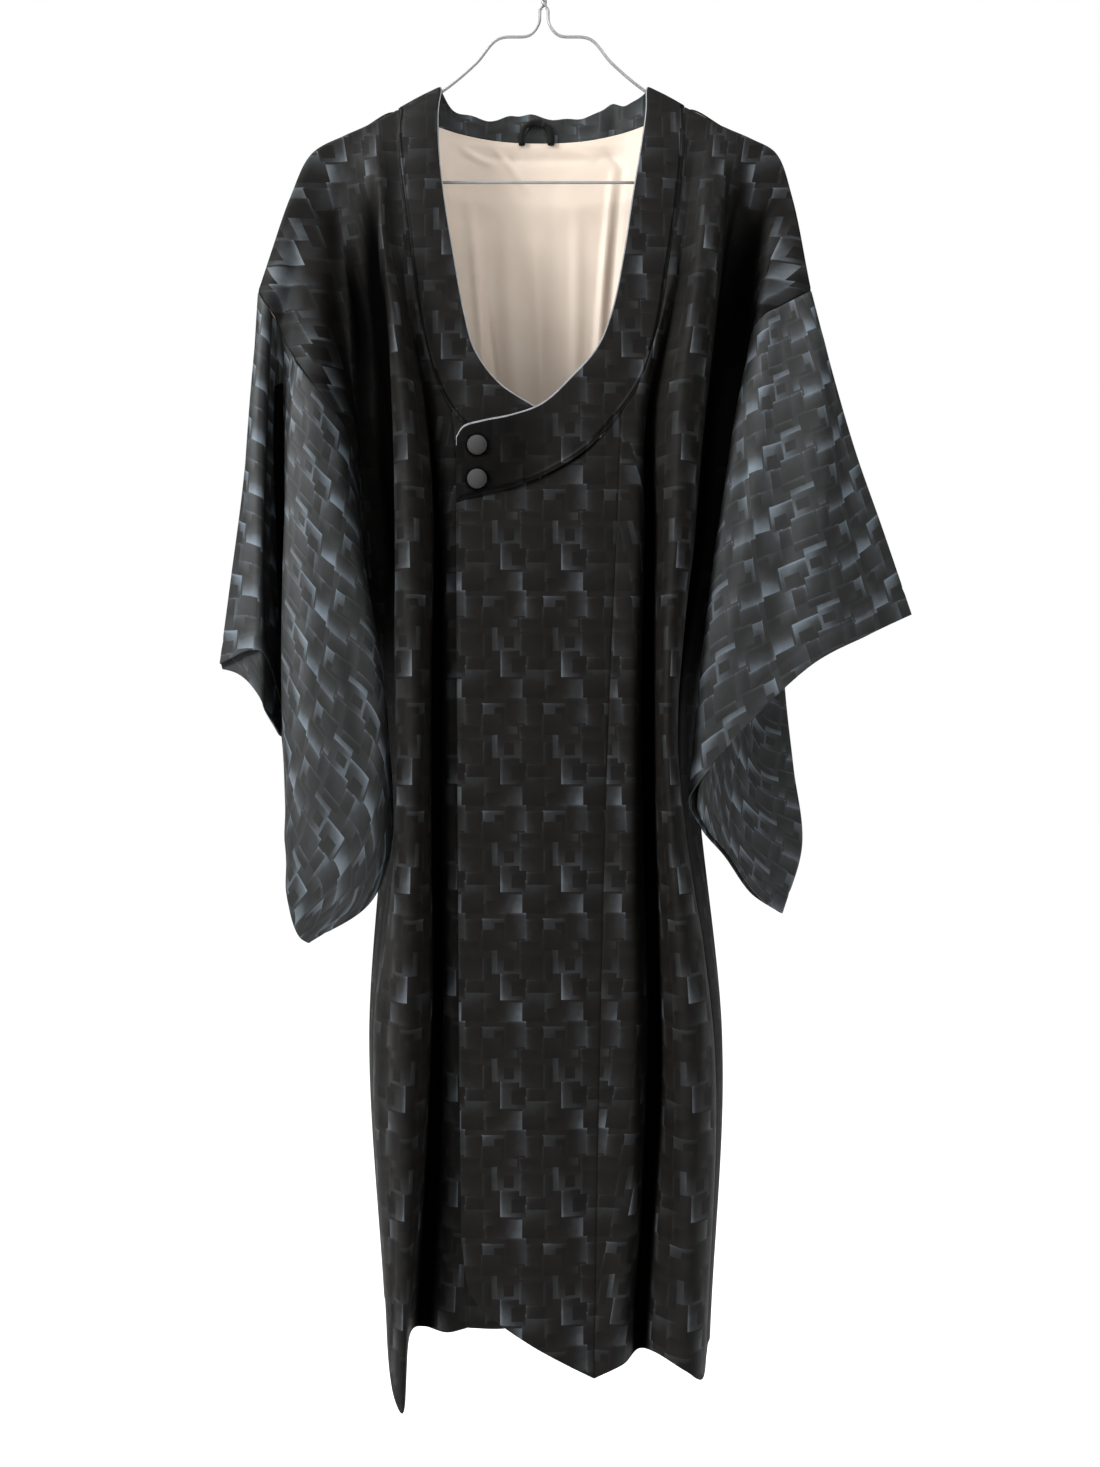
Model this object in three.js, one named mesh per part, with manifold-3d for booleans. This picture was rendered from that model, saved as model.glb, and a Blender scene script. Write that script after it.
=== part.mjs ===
// A full-length kimono coat with a bound neck, an overlap held by two covered buttons
// and wide hanging sleeves, on the wire hanger that carries it.
// Millimetres. X runs across the coat, the wearer's left at +X. The front faces -Y. Z is up.
// The origin is the inside top of the hanger's hook.

import * as THREE from "three";
import { mergeVertices } from "three/addons/utils/BufferGeometryUtils.js";
import Module from "manifold-3d";

const solids = await Module();
solids.setup();

// ---- driving sizes ----

const CLOTH = 2.0; // lined silk, two layers
const COLLAR_CLOTH = 3.0; // folded band
const LINING_CLOTH = 1.2;
const SEAM_TRIM = 0.35; // each edge stops this far short of its seam
const BAND_TRIM = 0.6; // thicker bands stop a little further off
const WIRE = 2.6;
const CLEAR = 0.3; // what touches lies this far apart

const NECK = new THREE.Vector3(92, 0, -137); // where the shoulder leaves the neck
const HANGER_TIP = new THREE.Vector3(209, 0, -198);
const RIDGE_RADIUS = WIRE / 2 + CLEAR + CLOTH / 2; // cloth bent over the wire

const HOOK = { inner: 21, mouth: 200, stem: -52 };
const NECK_TWIST = { top: -52, bottom: -64, turns: 1.5, apart: 1.4 };
const ARM = {
  rise: [[3.2, -66], [4.6, -79], [13, -89.5], [41, -93], [61, -115]],
  tipInset: 5,
  slope: 0.52,
  below: 1.34, // the wire's middle under the shoulder line, in ridge radii
};
const BAR = { z: -221, end: 190, straight: 5, margin: 18, fade: 0.25 };

const LEVELS = { chest: -312, yoke: -433, underarm: -535, waist: -721, knee: -993 };
const ROWS_PER_SPAN = [4, 3, 3, 4, 4, 4]; // to chest, yoke, underarm, waist, knee, hem
const BELOW_UNDERARM = 40; // where the side seam has turned in, below the sleeve
const COLUMN_STEPS = 2; // grid columns between two lines of a panel
const SEWN_BAND_ROWS = ROWS_PER_SPAN[0] + ROWS_PER_SPAN[1]; // of a neck band, sewn to a front
const STATION_STEPS = 2; // grid rows between two stations of a sleeve
const SLEEVE_STEPS = 3; // grid columns between two lines of a sleeve
const RIDGE_STEPS = [0, 0.29, 1]; // rounding over the shoulder, in radii from its top

// ---- fold tables: a row for each line that runs from shoulder to hem ----
// along: where the line starts, measured on the shoulder from the neck
// x, y: at chest, yoke, underarm, waist, knee and hem; hem: the height of its end
// a side seam starts at the underarm: x, y are below it, then at waist, knee and hem

const LEFT_FRONT = [
  { line: "overlap seam", along: 37, hem: -1264,
    x: [107, 67, 63, 55, 48, 43], y: [-33, -45, -45, -46, -50, -54] },
  { line: "flat end", along: 44, hem: -1251,
    x: [112, 84, 83, 80, 81, 67], y: [-34, -43, -44, -46, -50, -56] },
  { line: "valley", along: 51, hem: -1249,
    x: [118, 92, 93, 93, 98, 82], y: [-31, -24, -6, 2, -8, -30] },
  { line: "band inside", along: 58, hem: -1242,
    x: [123, 101, 99, 97, 106, 95], y: [-38, -38, -40, -44, -50, -52] },
  { line: "band crest", along: 68, hem: -1249,
    x: [134, 118, 113, 105, 123, 119], y: [-50, -58, -62, -66, -70, -72] },
  { line: "band outside", along: 82, hem: -1262,
    x: [149, 136, 127, 113, 143, 133], y: [-40, -44, -44, -46, -50, -60] },
  { line: "deep fold inside", along: 104, hem: -1258,
    x: [161, 147, 138, 116, 151, 142], y: [-4, 0, 6, -2, -10, -20] },
  { line: "deep fold floor", along: 129, hem: -1259,
    x: [179, 169, 155, 124, 157, 146], y: [6, 11, 16, 14, 12, 4] },
  { line: "sleeve head fold", along: 172, hem: -1260,
    x: [196, 179, 167, 133, 161, 149], y: [-12, 10, 19, 26, 24, 16] },
  { line: "side seam", hem: -1260,
    x: [161, 140, 163, 151], y: [28, 37, 36, 28] },
];

const RIGHT_FRONT = [
  { line: "overlap seam", along: 42, hem: -1229,
    x: [-113, -80, -71, -70, -68, -66], y: [-31, -36, -36, -36, -36, -34] },
  { line: "under end", along: 47, hem: -1235,
    x: [-118, -93, -85, -85, -84, -84], y: [-33, -35, -34, -33, -32, -29] },
  { line: "valley", along: 52, hem: -1237,
    x: [-123, -101, -95, -96, -96, -106], y: [-34, -26, -12, -8, -8, -12] },
  { line: "band inside", along: 58, hem: -1232,
    x: [-127, -106, -99, -100, -101, -116], y: [-40, -42, -44, -46, -50, -38] },
  { line: "band crest", along: 67, hem: -1286,
    x: [-135, -117, -113, -110, -115, -119], y: [-54, -60, -62, -64, -68, -70] },
  { line: "band outside", along: 80, hem: -1273,
    x: [-146, -132, -128, -122, -132, -128], y: [-42, -46, -47, -48, -54, -60] },
  { line: "shadow edge", along: 96, hem: -1240,
    x: [-156, -146, -137, -125, -146, -135], y: [-20, -12, -10, -10, -28, -40] },
  { line: "deep fold floor", along: 129, hem: -1225,
    x: [-172, -160, -149, -131, -152, -138], y: [4, 9, 12, 8, 2, -14] },
  { line: "sleeve head fold", along: 172, hem: -1223,
    x: [-190, -170, -158, -138, -156, -142], y: [-2, 12, 17, 22, 19, 6] },
  { line: "side seam", hem: -1222,
    x: [-151, -144, -160, -145], y: [28, 35, 33, 22] },
];

// the back's lines start on the neck edge, where top gives the place, or along the shoulder
const LEFT_BACK = [
  { line: "centre seam", top: [0, 41, -200], hem: -1240,
    x: [0, 0, 0, 0, 0, 0], y: [45, 47, 49, 52, 54, 50] },
  { line: "centre swell", top: [46, 39, -199], hem: -1240,
    x: [42, 40, 38, 34, 36, 34], y: [49, 52, 55, 60, 64, 60] },
  { line: "blade hollow", top: [86, 31, -193], hem: -1243,
    x: [78, 72, 66, 60, 64, 60], y: [40, 41, 40, 40, 40, 42] },
  { line: "band inside", top: [113, 15, -179], hem: -1240,
    x: [104, 92, 84, 73, 84, 80], y: [43, 48, 50, 54, 56, 58] },
  { line: "band crest", along: 42, hem: -1246,
    x: [122, 110, 101, 87, 101, 98], y: [48, 58, 64, 70, 76, 74] },
  { line: "band outside", along: 78, hem: -1256,
    x: [141, 130, 119, 101, 120, 114], y: [42, 47, 50, 54, 56, 56] },
  { line: "side hollow", along: 100, hem: -1258,
    x: [160, 150, 137, 116, 136, 128], y: [27, 31, 34, 38, 40, 40] },
  { line: "side swell", along: 129, hem: -1262,
    x: [182, 173, 160, 132, 152, 142], y: [26, 32, 40, 52, 52, 46] },
  { line: "side turn", along: 172, hem: -1262,
    x: [194, 184, 172, 141, 161, 149], y: [12, 26, 33, 48, 48, 40] },
  { line: "side seam", hem: -1260,
    x: [161, 140, 163, 151], y: [29, 38, 37, 29] },
];

const RIGHT_BACK = [
  { line: "centre seam", top: [0, 41, -200], hem: -1240,
    x: [0, 0, 0, 0, 0, 0], y: [45, 47, 49, 52, 54, 50] },
  { line: "centre swell", top: [-46, 39, -199], hem: -1238,
    x: [-44, -42, -41, -40, -38, -36], y: [48, 51, 53, 56, 58, 56] },
  { line: "blade hollow", top: [-86, 31, -193], hem: -1240,
    x: [-80, -75, -71, -68, -66, -62], y: [40, 40, 39, 38, 38, 40] },
  { line: "band inside", top: [-113, 15, -179], hem: -1238,
    x: [-105, -95, -90, -86, -85, -80], y: [44, 49, 52, 54, 54, 56] },
  { line: "band crest", along: 47, hem: -1240,
    x: [-121, -111, -103, -92, -101, -95], y: [50, 60, 65, 68, 72, 72] },
  { line: "band outside", along: 78, hem: -1246,
    x: [-139, -129, -120, -105, -119, -111], y: [43, 46, 49, 53, 54, 55] },
  { line: "side hollow", along: 100, hem: -1238,
    x: [-156, -146, -136, -119, -134, -124], y: [28, 31, 34, 38, 38, 38] },
  { line: "side swell", along: 129, hem: -1230,
    x: [-174, -165, -154, -134, -149, -137], y: [26, 32, 38, 50, 50, 42] },
  { line: "side turn", along: 172, hem: -1226,
    x: [-186, -175, -163, -143, -157, -143], y: [14, 26, 31, 47, 44, 34] },
  { line: "side seam", hem: -1222,
    x: [-151, -144, -160, -145], y: [29, 36, 34, 23] },
];

// overlap panels: at is x, y at the top, underarm, waist, knee and hem; top and hem are heights
const LEFT_OVERLAP = [
  { line: "free edge", top: -515, hem: -1146,
    at: [[-75, -49], [-75, -49], [-74, -52], [-72, -55], [-70, -58]] },
  { line: "round corner", top: -513, hem: -1190,
    at: [[-69, -49], [-69, -49], [-68, -52], [-66, -55], [-62, -59]] },
  { line: "corner end", top: -508, hem: -1210,
    at: [[-51, -48], [-51, -49], [-51, -51], [-50, -56], [-44, -59]] },
  { line: "middle", top: -497, hem: -1234,
    at: [[-12, -47], [-12, -48], [-14, -51], [-15, -56], [-9, -60]] },
  { line: "inner", top: -473, hem: -1252,
    at: [[34, -46], [31, -46], [26, -49], [21, -54], [22, -58]] },
  { line: "seam", top: -435, hem: -1264,
    at: [[67, -45], [63, -45], [55, -46], [48, -50], [43, -54]] },
];

const RIGHT_OVERLAP = [
  { line: "seam", top: -432, hem: -1229,
    at: [[-80, -36], [-71, -36], [-70, -36], [-68, -36], [-66, -34]] },
  { line: "inner", top: -468, hem: -1231,
    at: [[-44, -36], [-42, -35], [-40, -35], [-38, -33], [-37, -31]] },
  { line: "middle", top: -494, hem: -1226,
    at: [[0, -34], [0, -33], [0, -33], [0, -30], [0, -30]] },
  { line: "free edge", top: -520, hem: -1222,
    at: [[50, -31], [46, -30], [40, -30], [36, -28], [30, -28]] },
];

// neck bands: the edge at the neck opening, the edge sewn to the coat, and how far out it lies
const LEFT_COLLAR = [
  { at: "below shoulder", inner: [90, -160], outer: [123, -176], y: -9 },
  { at: "collar bone", inner: [86, -190], outer: [121, -208], y: -17 },
  { at: "upper chest", inner: [78, -238], outer: [115, -260], y: -27 },
  { at: "chest", inner: [69, -297], outer: [107, -312], y: -33 },
  { at: "curve start", inner: [59, -346], outer: [98, -366], y: -38 },
  { at: "curve", inner: [46, -379], outer: [84, -408], y: -42 },
  { at: "curve end", inner: [25, -404], outer: [67, -435], y: -45 },
  { at: "centre", inner: [-2, -429], outer: [41, -465], y: -47 },
  { at: "past centre", inner: [-29, -439], outer: [12, -485], y: -48 },
  { at: "tab", inner: [-53, -444], outer: [-20, -500], y: -49 },
  { at: "tab corner", inner: [-69, -449], outer: [-55, -509], y: -49 },
  { at: "tab end", inner: [-75, -458], outer: [-75, -514], y: -49 },
];

const RIGHT_COLLAR = [
  { at: "below shoulder", inner: [-93, -160], outer: [-129, -177], y: -9 },
  { at: "collar bone", inner: [-92, -199], outer: [-126, -210], y: -17 },
  { at: "upper chest", inner: [-86, -250], outer: [-119, -261], y: -26 },
  { at: "chest", inner: [-79, -292], outer: [-113, -312], y: -31 },
  { at: "curve start", inner: [-69, -347], outer: [-105, -363], y: -34 },
  { at: "curve", inner: [-60, -379], outer: [-95, -401], y: -35 },
  { at: "curve end", inner: [-39, -408], outer: [-80, -432], y: -36 },
  { at: "under the band", inner: [-9, -428], outer: [-44, -466], y: -36 },
  { at: "under the panel", inner: [22, -445], outer: [0, -492], y: -34 },
  { at: "end", inner: [60, -460], outer: [50, -517], y: -31 },
];

const BACK_COLLAR = [
  { at: "right quarter", inner: [-82, 20, -146], outer: [-113, 15, -177] },
  { at: "right", inner: [-48, 32, -150], outer: [-80, 33, -192] },
  { at: "right of centre", inner: [-16, 36, -147], outer: [-28, 40, -198] },
  { at: "left of centre", inner: [24, 35, -148], outer: [28, 40, -198] },
  { at: "left", inner: [58, 27, -144], outer: [80, 33, -192] },
  { at: "left quarter", inner: [82, 15, -141], outer: [113, 15, -177] },
];

// back lining inside the neck: y at its top, collar bone, chest and end
const LINING_LEVELS = [-215, LEVELS.chest, -470];
const LINING = [
  { line: "right edge", x: -99, top: -164, y: [15.4, 14, 26, 30] },
  { line: "right", x: -76, top: -167, y: [26.1, 27, 33, 35] },
  { line: "right centre", x: -44, top: -170, y: [34, 34, 40, 43] },
  { line: "centre", x: -6, top: -171, y: [36.7, 37, 39, 42] },
  { line: "left centre", x: 36, top: -170, y: [34.4, 35, 41, 44] },
  { line: "left", x: 72, top: -166, y: [26.4, 27, 34, 36] },
  { line: "left edge", x: 97, top: -162, y: [14.3, 14, 26, 30] },
];

// sleeves: a line for each fold, at the armhole, upper arm, middle, lower arm and cuff
// gap: half the space between the two layers
const LEFT_SLEEVE = [
  { line: "top fold", gap: 3.5,
    at: [[237, 0, -318], [255, 0, -388], [276, 0, -460], [301, 0, -531], [327, 0, -607]] },
  { line: "outer", gap: 7,
    at: [[220, -10, -330], [233, -16, -406], [245, -20, -486], [260, -22, -571], [280, -20, -628]] },
  { line: "middle", gap: 6.5,
    at: [[204, -17, -341], [204, -26, -420], [205, -32, -508], [207, -36, -601], [226, -36, -657]] },
  { line: "front fold", gap: 4,
    at: [[190, -16, -356], [173, -28, -438], [158, -37, -536], [142, -42, -652], [130, -42, -766]] },
  { line: "turn back", gap: 3,
    at: [[186, 3, -430], [174, -8, -520], [160, -16, -620], [148, -20, -722], [141, -16, -796]] },
  { line: "underarm", gap: 3.5,
    at: [[181, 18, -532], [177, 12, -612], [170, 8, -697], [163, 8, -768], [164, 12, -822]] },
  { line: "tail", gap: 5,
    at: [[202, 36, -584], [196, 35, -677], [195, 32, -746], [199, 30, -805], [192, 28, -860]] },
  { line: "bottom fold", gap: 3.5,
    at: [[218, 54, -620], [223, 50, -682], [230, 48, -745], [237, 42, -816], [218, 36, -878]] },
];

const RIGHT_SLEEVE = [
  { line: "top fold", gap: 3,
    at: [[-253, 0, -318], [-258, 0, -402], [-266, 0, -487], [-277, 0, -569], [-288, 0, -651]] },
  { line: "strip edge", gap: 2.6,
    at: [[-245, -7, -334], [-248, -14, -416], [-248, -20, -500], [-247, -24, -575], [-247, -24, -641]] },
  { line: "valley", gap: 1.7,
    at: [[-236, 0, -350], [-237, 8, -437], [-237, 15, -524], [-237, 20, -613], [-238, 22, -704]] },
  { line: "crest", gap: 2.4,
    at: [[-222, -12, -378], [-225, -24, -475], [-224, -32, -567], [-223, -36, -668], [-222, -34, -775]] },
  { line: "front panel", gap: 6,
    at: [[-200, -20, -412], [-196, -34, -520], [-188, -42, -632], [-191, -44, -746], [-221, -38, -845]] },
  { line: "panel fold", gap: 4,
    at: [[-178, -10, -450], [-165, -28, -551], [-148, -38, -672], [-158, -42, -806], [-216, -38, -878]] },
  { line: "underarm", gap: 4,
    at: [[-170, 18, -530], [-162, -4, -640], [-138, -28, -742], [-149, -36, -838], [-211, -36, -889]] },
  { line: "bottom fold", gap: 3.5,
    at: [[-186, 34, -620], [-162, 8, -722], [-136, -22, -783], [-150, -32, -857], [-204, -34, -894]] },
];

// ---- curves and grids ----

const point = (list) => new THREE.Vector3(...list);

function smoothCurve(points) {
  return new THREE.CatmullRomCurve3(points, false, "centripetal");
}

// points on a smooth curve, with the given number of steps in each of its spans
function sampleSpans(points, stepsInSpan) {
  const curve = smoothCurve(points);
  const spans = points.length - 1;
  const samples = [];
  for (let span = 0; span < spans; span += 1) {
    for (let step = 0; step < stepsInSpan[span]; step += 1) {
      samples.push(curve.getPoint((span + step / stepsInSpan[span]) / spans));
    }
  }
  samples.push(points[spans].clone());
  return samples;
}

function samplesEach(points, steps) {
  return sampleSpans(points, new Array(points.length - 1).fill(steps));
}

// a grid of rows from its lines: each line is already sampled from top to bottom
function gridFromLines(lines, steps) {
  return lines[0].map((_, row) => samplesEach(lines.map((line) => line[row]), steps));
}

const transpose = (grid) => grid[0].map((_, column) => grid.map((row) => row[column]));

// move one edge of a grid inwards, along the surface
function trimRows(grid, atStart, atEnd) {
  const moved = grid.map((row) => row.map((place) => place.clone()));
  const shift = (edge, inside, distance) => {
    moved[edge].forEach((place, column) => {
      const inwards = grid[inside][column].clone().sub(grid[edge][column]).normalize();
      place.addScaledVector(inwards, distance);
    });
  };
  if (atStart > 0) shift(0, 1, atStart);
  if (atEnd > 0) shift(grid.length - 1, grid.length - 2, atEnd);
  return moved;
}

function trimGrid(grid, { top = 0, bottom = 0, first = 0, last = 0 }) {
  const rowsTrimmed = trimRows(grid, top, bottom);
  return transpose(trimRows(transpose(rowsTrimmed), first, last));
}

// ---- walls ----

// unit normals of a grid; mirrored says that the surface goes on beyond that end, turned over in Y
function gridNormals(grid, { closed = false, mirrored = false, mirroredEnd = false } = {}) {
  const rows = grid.length;
  const columns = grid[0].length;
  const reflect = (place) => new THREE.Vector3(place.x, -place.y, place.z);
  return grid.map((row, r) => row.map((place, c) => {
    const above = r > 0 ? grid[r - 1][c] : (mirrored ? reflect(grid[1][c]) : place);
    const beyond = mirroredEnd ? reflect(grid[rows - 2][c]) : place;
    const below = r < rows - 1 ? grid[r + 1][c] : beyond;
    const before = closed ? row[(c + columns - 1) % columns] : row[Math.max(c - 1, 0)];
    const after = closed ? row[(c + 1) % columns] : row[Math.min(c + 1, columns - 1)];
    const down = below.clone().sub(above);
    const across = after.clone().sub(before);
    return down.cross(across).normalize();
  }));
}

function geometryFrom(positions, triangles) {
  const geometry = new THREE.BufferGeometry();
  geometry.setAttribute("position", new THREE.Float32BufferAttribute(positions, 3));
  geometry.setIndex(triangles);
  const merged = mergeVertices(geometry, 1e-4);
  merged.computeVertexNormals();
  return merged;
}

// the sign of the volume that the triangles enclose tells which way they face
function facesOutwards(positions, triangles) {
  const corner = (index) => new THREE.Vector3().fromArray(positions, 3 * index);
  let volume = 0;
  for (let i = 0; i < triangles.length; i += 3) {
    const [a, b, c] = [corner(triangles[i]), corner(triangles[i + 1]), corner(triangles[i + 2])];
    volume += a.dot(b.cross(c));
  }
  return volume > 0;
}

function solidFrom(positions, triangles) {
  if (!facesOutwards(positions, triangles)) triangles.reverse();
  return geometryFrom(positions, triangles);
}

// a closed wall around a grid: both faces and a rim along each open edge
function wall(grid, thickness, options = {}) {
  const rows = grid.length;
  const columns = grid[0].length;
  const normals = gridNormals(grid, options);
  const positions = [];
  for (const side of [0.5, -0.5]) {
    grid.forEach((row, r) => row.forEach((place, c) => {
      const moved = place.clone().addScaledVector(normals[r][c], side * thickness);
      positions.push(moved.x, moved.y, moved.z);
    }));
  }
  const behind = rows * columns;
  const at = (r, c) => r * columns + (c % columns);
  const triangles = [];
  const quad = (a, b, c, d) => triangles.push(a, b, c, a, c, d);
  const lastColumn = options.closed ? columns : columns - 1;
  for (let r = 0; r < rows - 1; r += 1) {
    for (let c = 0; c < lastColumn; c += 1) {
      const [a, b, d, e] = [at(r, c), at(r, c + 1), at(r + 1, c + 1), at(r + 1, c)];
      quad(a, b, d, e);
      quad(behind + a, behind + e, behind + d, behind + b);
    }
  }
  for (let c = 0; c < lastColumn; c += 1) {
    quad(at(0, c), behind + at(0, c), behind + at(0, c + 1), at(0, c + 1));
    const [a, b] = [at(rows - 1, c), at(rows - 1, c + 1)];
    quad(a, b, behind + b, behind + a);
  }
  for (let r = 0; r < rows - 1 && !options.closed; r += 1) {
    quad(at(r, 0), at(r + 1, 0), behind + at(r + 1, 0), behind + at(r, 0));
    const c = columns - 1;
    quad(at(r, c), behind + at(r, c), behind + at(r + 1, c), at(r + 1, c));
  }
  return solidFrom(positions, triangles);
}

function solidOf(geometry) {
  return new solids.Manifold(new solids.Mesh({
    numProp: 3,
    vertProperties: new Float32Array(geometry.attributes.position.array),
    triVerts: new Uint32Array(geometry.index.array),
  }));
}

// a wall cut back where a neighbour, made thicker by the gap, comes too near at their seam
function cutClear(geometry, neighbours) {
  const cut = neighbours.map(solidOf).reduce((solid, other) => solid.subtract(other), solidOf(geometry));
  const [whole] = cut.decompose().sort((a, b) => b.volume() - a.volume());
  const mesh = whole.getMesh();
  return geometryFrom(Array.from(mesh.vertProperties), Array.from(mesh.triVerts));
}

// a solid rod through rings of equal size, closed by flat ends
function rod(rings) {
  const sides = rings[0].length;
  const positions = rings.flat().flatMap((place) => [place.x, place.y, place.z]);
  const triangles = [];
  for (let r = 0; r < rings.length - 1; r += 1) {
    for (let s = 0; s < sides; s += 1) {
      const next = (s + 1) % sides;
      const [a, b] = [r * sides + s, r * sides + next];
      triangles.push(a, b, b + sides, a, b + sides, a + sides);
    }
  }
  const end = (rings.length - 1) * sides;
  for (let s = 1; s < sides - 1; s += 1) {
    triangles.push(0, s + 1, s);
    triangles.push(end, end + s, end + s + 1);
  }
  return solidFrom(positions, triangles);
}

function ringAround(centre, tangent, sideways, radiusAcross, radiusAlong, sides) {
  const normal = tangent.clone().cross(sideways).normalize();
  const across = normal.clone().cross(tangent).normalize();
  return Array.from({ length: sides }, (_, s) => {
    const angle = (2 * Math.PI * s) / sides;
    return centre.clone()
      .addScaledVector(across, radiusAcross * Math.cos(angle))
      .addScaledVector(normal, radiusAlong * Math.sin(angle));
  });
}

// round wire along points that all lie in one upright plane
function wire(points, sides = 8) {
  const forwards = new THREE.Vector3(0, 1, 0);
  return rod(points.map((place, i) => {
    const before = points[Math.max(i - 1, 0)];
    const after = points[Math.min(i + 1, points.length - 1)];
    const tangent = after.clone().sub(before).normalize();
    return ringAround(place, tangent, forwards, WIRE / 2, WIRE / 2, sides);
  }));
}

// ---- shoulder ----

// the shoulder's top line, from the neck over the hanger's tip to the top of the armhole
function shoulderLine(side, armholeTop) {
  const drop = armholeTop.z - HANGER_TIP.z;
  const spread = armholeTop.x * side - HANGER_TIP.x;
  const between = (share, bulge) => new THREE.Vector3(
    side * (HANGER_TIP.x + spread * share + bulge), 0, HANGER_TIP.z + drop * share,
  );
  return smoothCurve([
    new THREE.Vector3(side * NECK.x, 0, NECK.z),
    new THREE.Vector3(side * (NECK.x + HANGER_TIP.x) / 2, 0, (NECK.z + HANGER_TIP.z) / 2),
    new THREE.Vector3(side * HANGER_TIP.x, 0, HANGER_TIP.z),
    between(0.2, 3),
    between(0.55, 3),
    armholeTop,
  ]);
}

// the rows that bend over the shoulder's top line, from it down to one face
function shoulderRows(line, along, length, radius, facing, lift = 0) {
  const share = THREE.MathUtils.clamp(along / length, 0, 1);
  const top = line.getPointAt(share);
  const tangent = line.getTangentAt(share);
  const down = new THREE.Vector3(tangent.z, 0, -tangent.x);
  if (down.z > 0 || (Math.abs(down.z) < 0.2 && down.x * top.x > 0)) down.negate();
  return RIDGE_STEPS.map((step) => {
    const outwards = Math.sqrt(1 - (1 - step) ** 2) * radius;
    const place = top.clone().addScaledVector(down, step * radius - lift);
    place.y = facing * Math.max(outwards, CLEAR / 2);
    return place;
  });
}

// ---- sleeves ----

// where a sleeve's columns lie on the curve through its lines: rounded at both folds
function sleeveShares(places, table) {
  const spans = places.length - 1;
  const reach = (line, inside) => table[line].gap / places[line].distanceTo(places[inside]) / spans;
  const near = RIDGE_STEPS.map((step) => step * reach(0, 1));
  const far = RIDGE_STEPS.map((step) => 1 - step * reach(spans, spans - 1)).reverse();
  const steps = SLEEVE_STEPS * spans;
  const between = Array.from({ length: steps - 1 }, (_, i) => (i + 1) / steps);
  return [...near, ...between, ...far];
}

// half the space between the layers at a share of the way through the lines
function sleeveGap(table, share) {
  const place = share * (table.length - 1);
  const line = Math.min(Math.floor(place), table.length - 2);
  return THREE.MathUtils.lerp(table[line].gap, table[line + 1].gap, place - line);
}

// the two layers of a sleeve: rows run from the armhole to the cuff, columns from fold to fold
function sleeveLayers(table) {
  const lines = table.map(({ at }) => samplesEach(at.map(point), STATION_STEPS));
  const shares = lines[0].map((_, row) => sleeveShares(lines.map((line) => line[row]), table));
  const sheet = shares.map((rowShares, row) => {
    const curve = smoothCurve(lines.map((line) => line[row]));
    return rowShares.map((share) => curve.getPoint(share));
  });
  const rounding = RIDGE_STEPS.map((step) => Math.sqrt(1 - (1 - step) ** 2));
  const middle = new Array(sheet[0].length - 2 * rounding.length).fill(1);
  const rounds = [...rounding, ...middle, ...rounding.slice().reverse()];
  const normals = gridNormals(sheet);
  const frontwards = normals[0][RIDGE_STEPS.length].y < 0 ? 1 : -1;
  const layer = (sign) => sheet.map((row, r) => row.map((place, c) => place.clone().addScaledVector(
    normals[r][c], sign * frontwards * rounds[c] * sleeveGap(table, shares[r][c]),
  )));
  return { front: layer(1), back: layer(-1) };
}

function sleeveWall(layers, gap = 0) {
  const rings = layers.front.map((row, r) => [...row, ...layers.back[r].slice(1, -1).reverse()]);
  return wall(trimGrid(rings, { top: SEAM_TRIM - gap }), CLOTH + 2 * gap, { closed: true });
}

// the stretch of the sleeve's first row that is sewn to the body, to the line named underarm
function armholeEdge(layer, table) {
  const edge = layer[0];
  const target = point(table.find(({ line }) => line === "underarm").at[0]);
  let last = 0;
  edge.forEach((place, c) => {
    if (place.distanceTo(target) < edge[last].distanceTo(target)) last = c;
  });
  return edge.slice(0, last + 1);
}

// ---- body panels ----

const levelHeights = (hem) => [...Object.values(LEVELS), hem];

// one line of a panel, sampled from the shoulder or neck edge down to the hem
function panelLine(row, shoulder, facing) {
  const heights = levelHeights(row.hem);
  const levels = heights.map((z, i) => new THREE.Vector3(row.x[i], row.y[i], z));
  const start = row.top
    ? neckRows(point(row.top))
    : shoulderRows(shoulder.line, row.along, shoulder.length, shoulder.radiusAt(row.along), facing);
  const bend = start.pop();
  return [...start, ...sampleSpans([bend, ...levels], ROWS_PER_SPAN)];
}

// where a back panel hangs from the neck band, its first rows run straight down
function neckRows(top) {
  return RIDGE_STEPS.map((step) => new THREE.Vector3(top.x, top.y, top.z - step * RIDGE_RADIUS));
}

// the outer line: sewn to the sleeve as far as the underarm, then the side seam
function sideLine(row, edge) {
  const heights = levelHeights(row.hem);
  const sewn = smoothCurve(edge.slice(RIDGE_STEPS.length - 1));
  const sewnRows = ROWS_PER_SPAN[0] + ROWS_PER_SPAN[1] + ROWS_PER_SPAN[2];
  const upper = Array.from({ length: sewnRows }, (_, i) => sewn.getPointAt(i / sewnRows));
  const seam = [LEVELS.underarm - BELOW_UNDERARM, ...heights.slice(3)];
  const lower = seam.map((z, i) => new THREE.Vector3(row.x[i], row.y[i], z));
  const [toWaist, ...rest] = ROWS_PER_SPAN.slice(3);
  return [
    ...edge.slice(0, RIDGE_STEPS.length - 1),
    ...upper,
    ...sampleSpans([edge[edge.length - 1], ...lower], [1, toWaist - 1, ...rest]),
  ];
}

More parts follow.
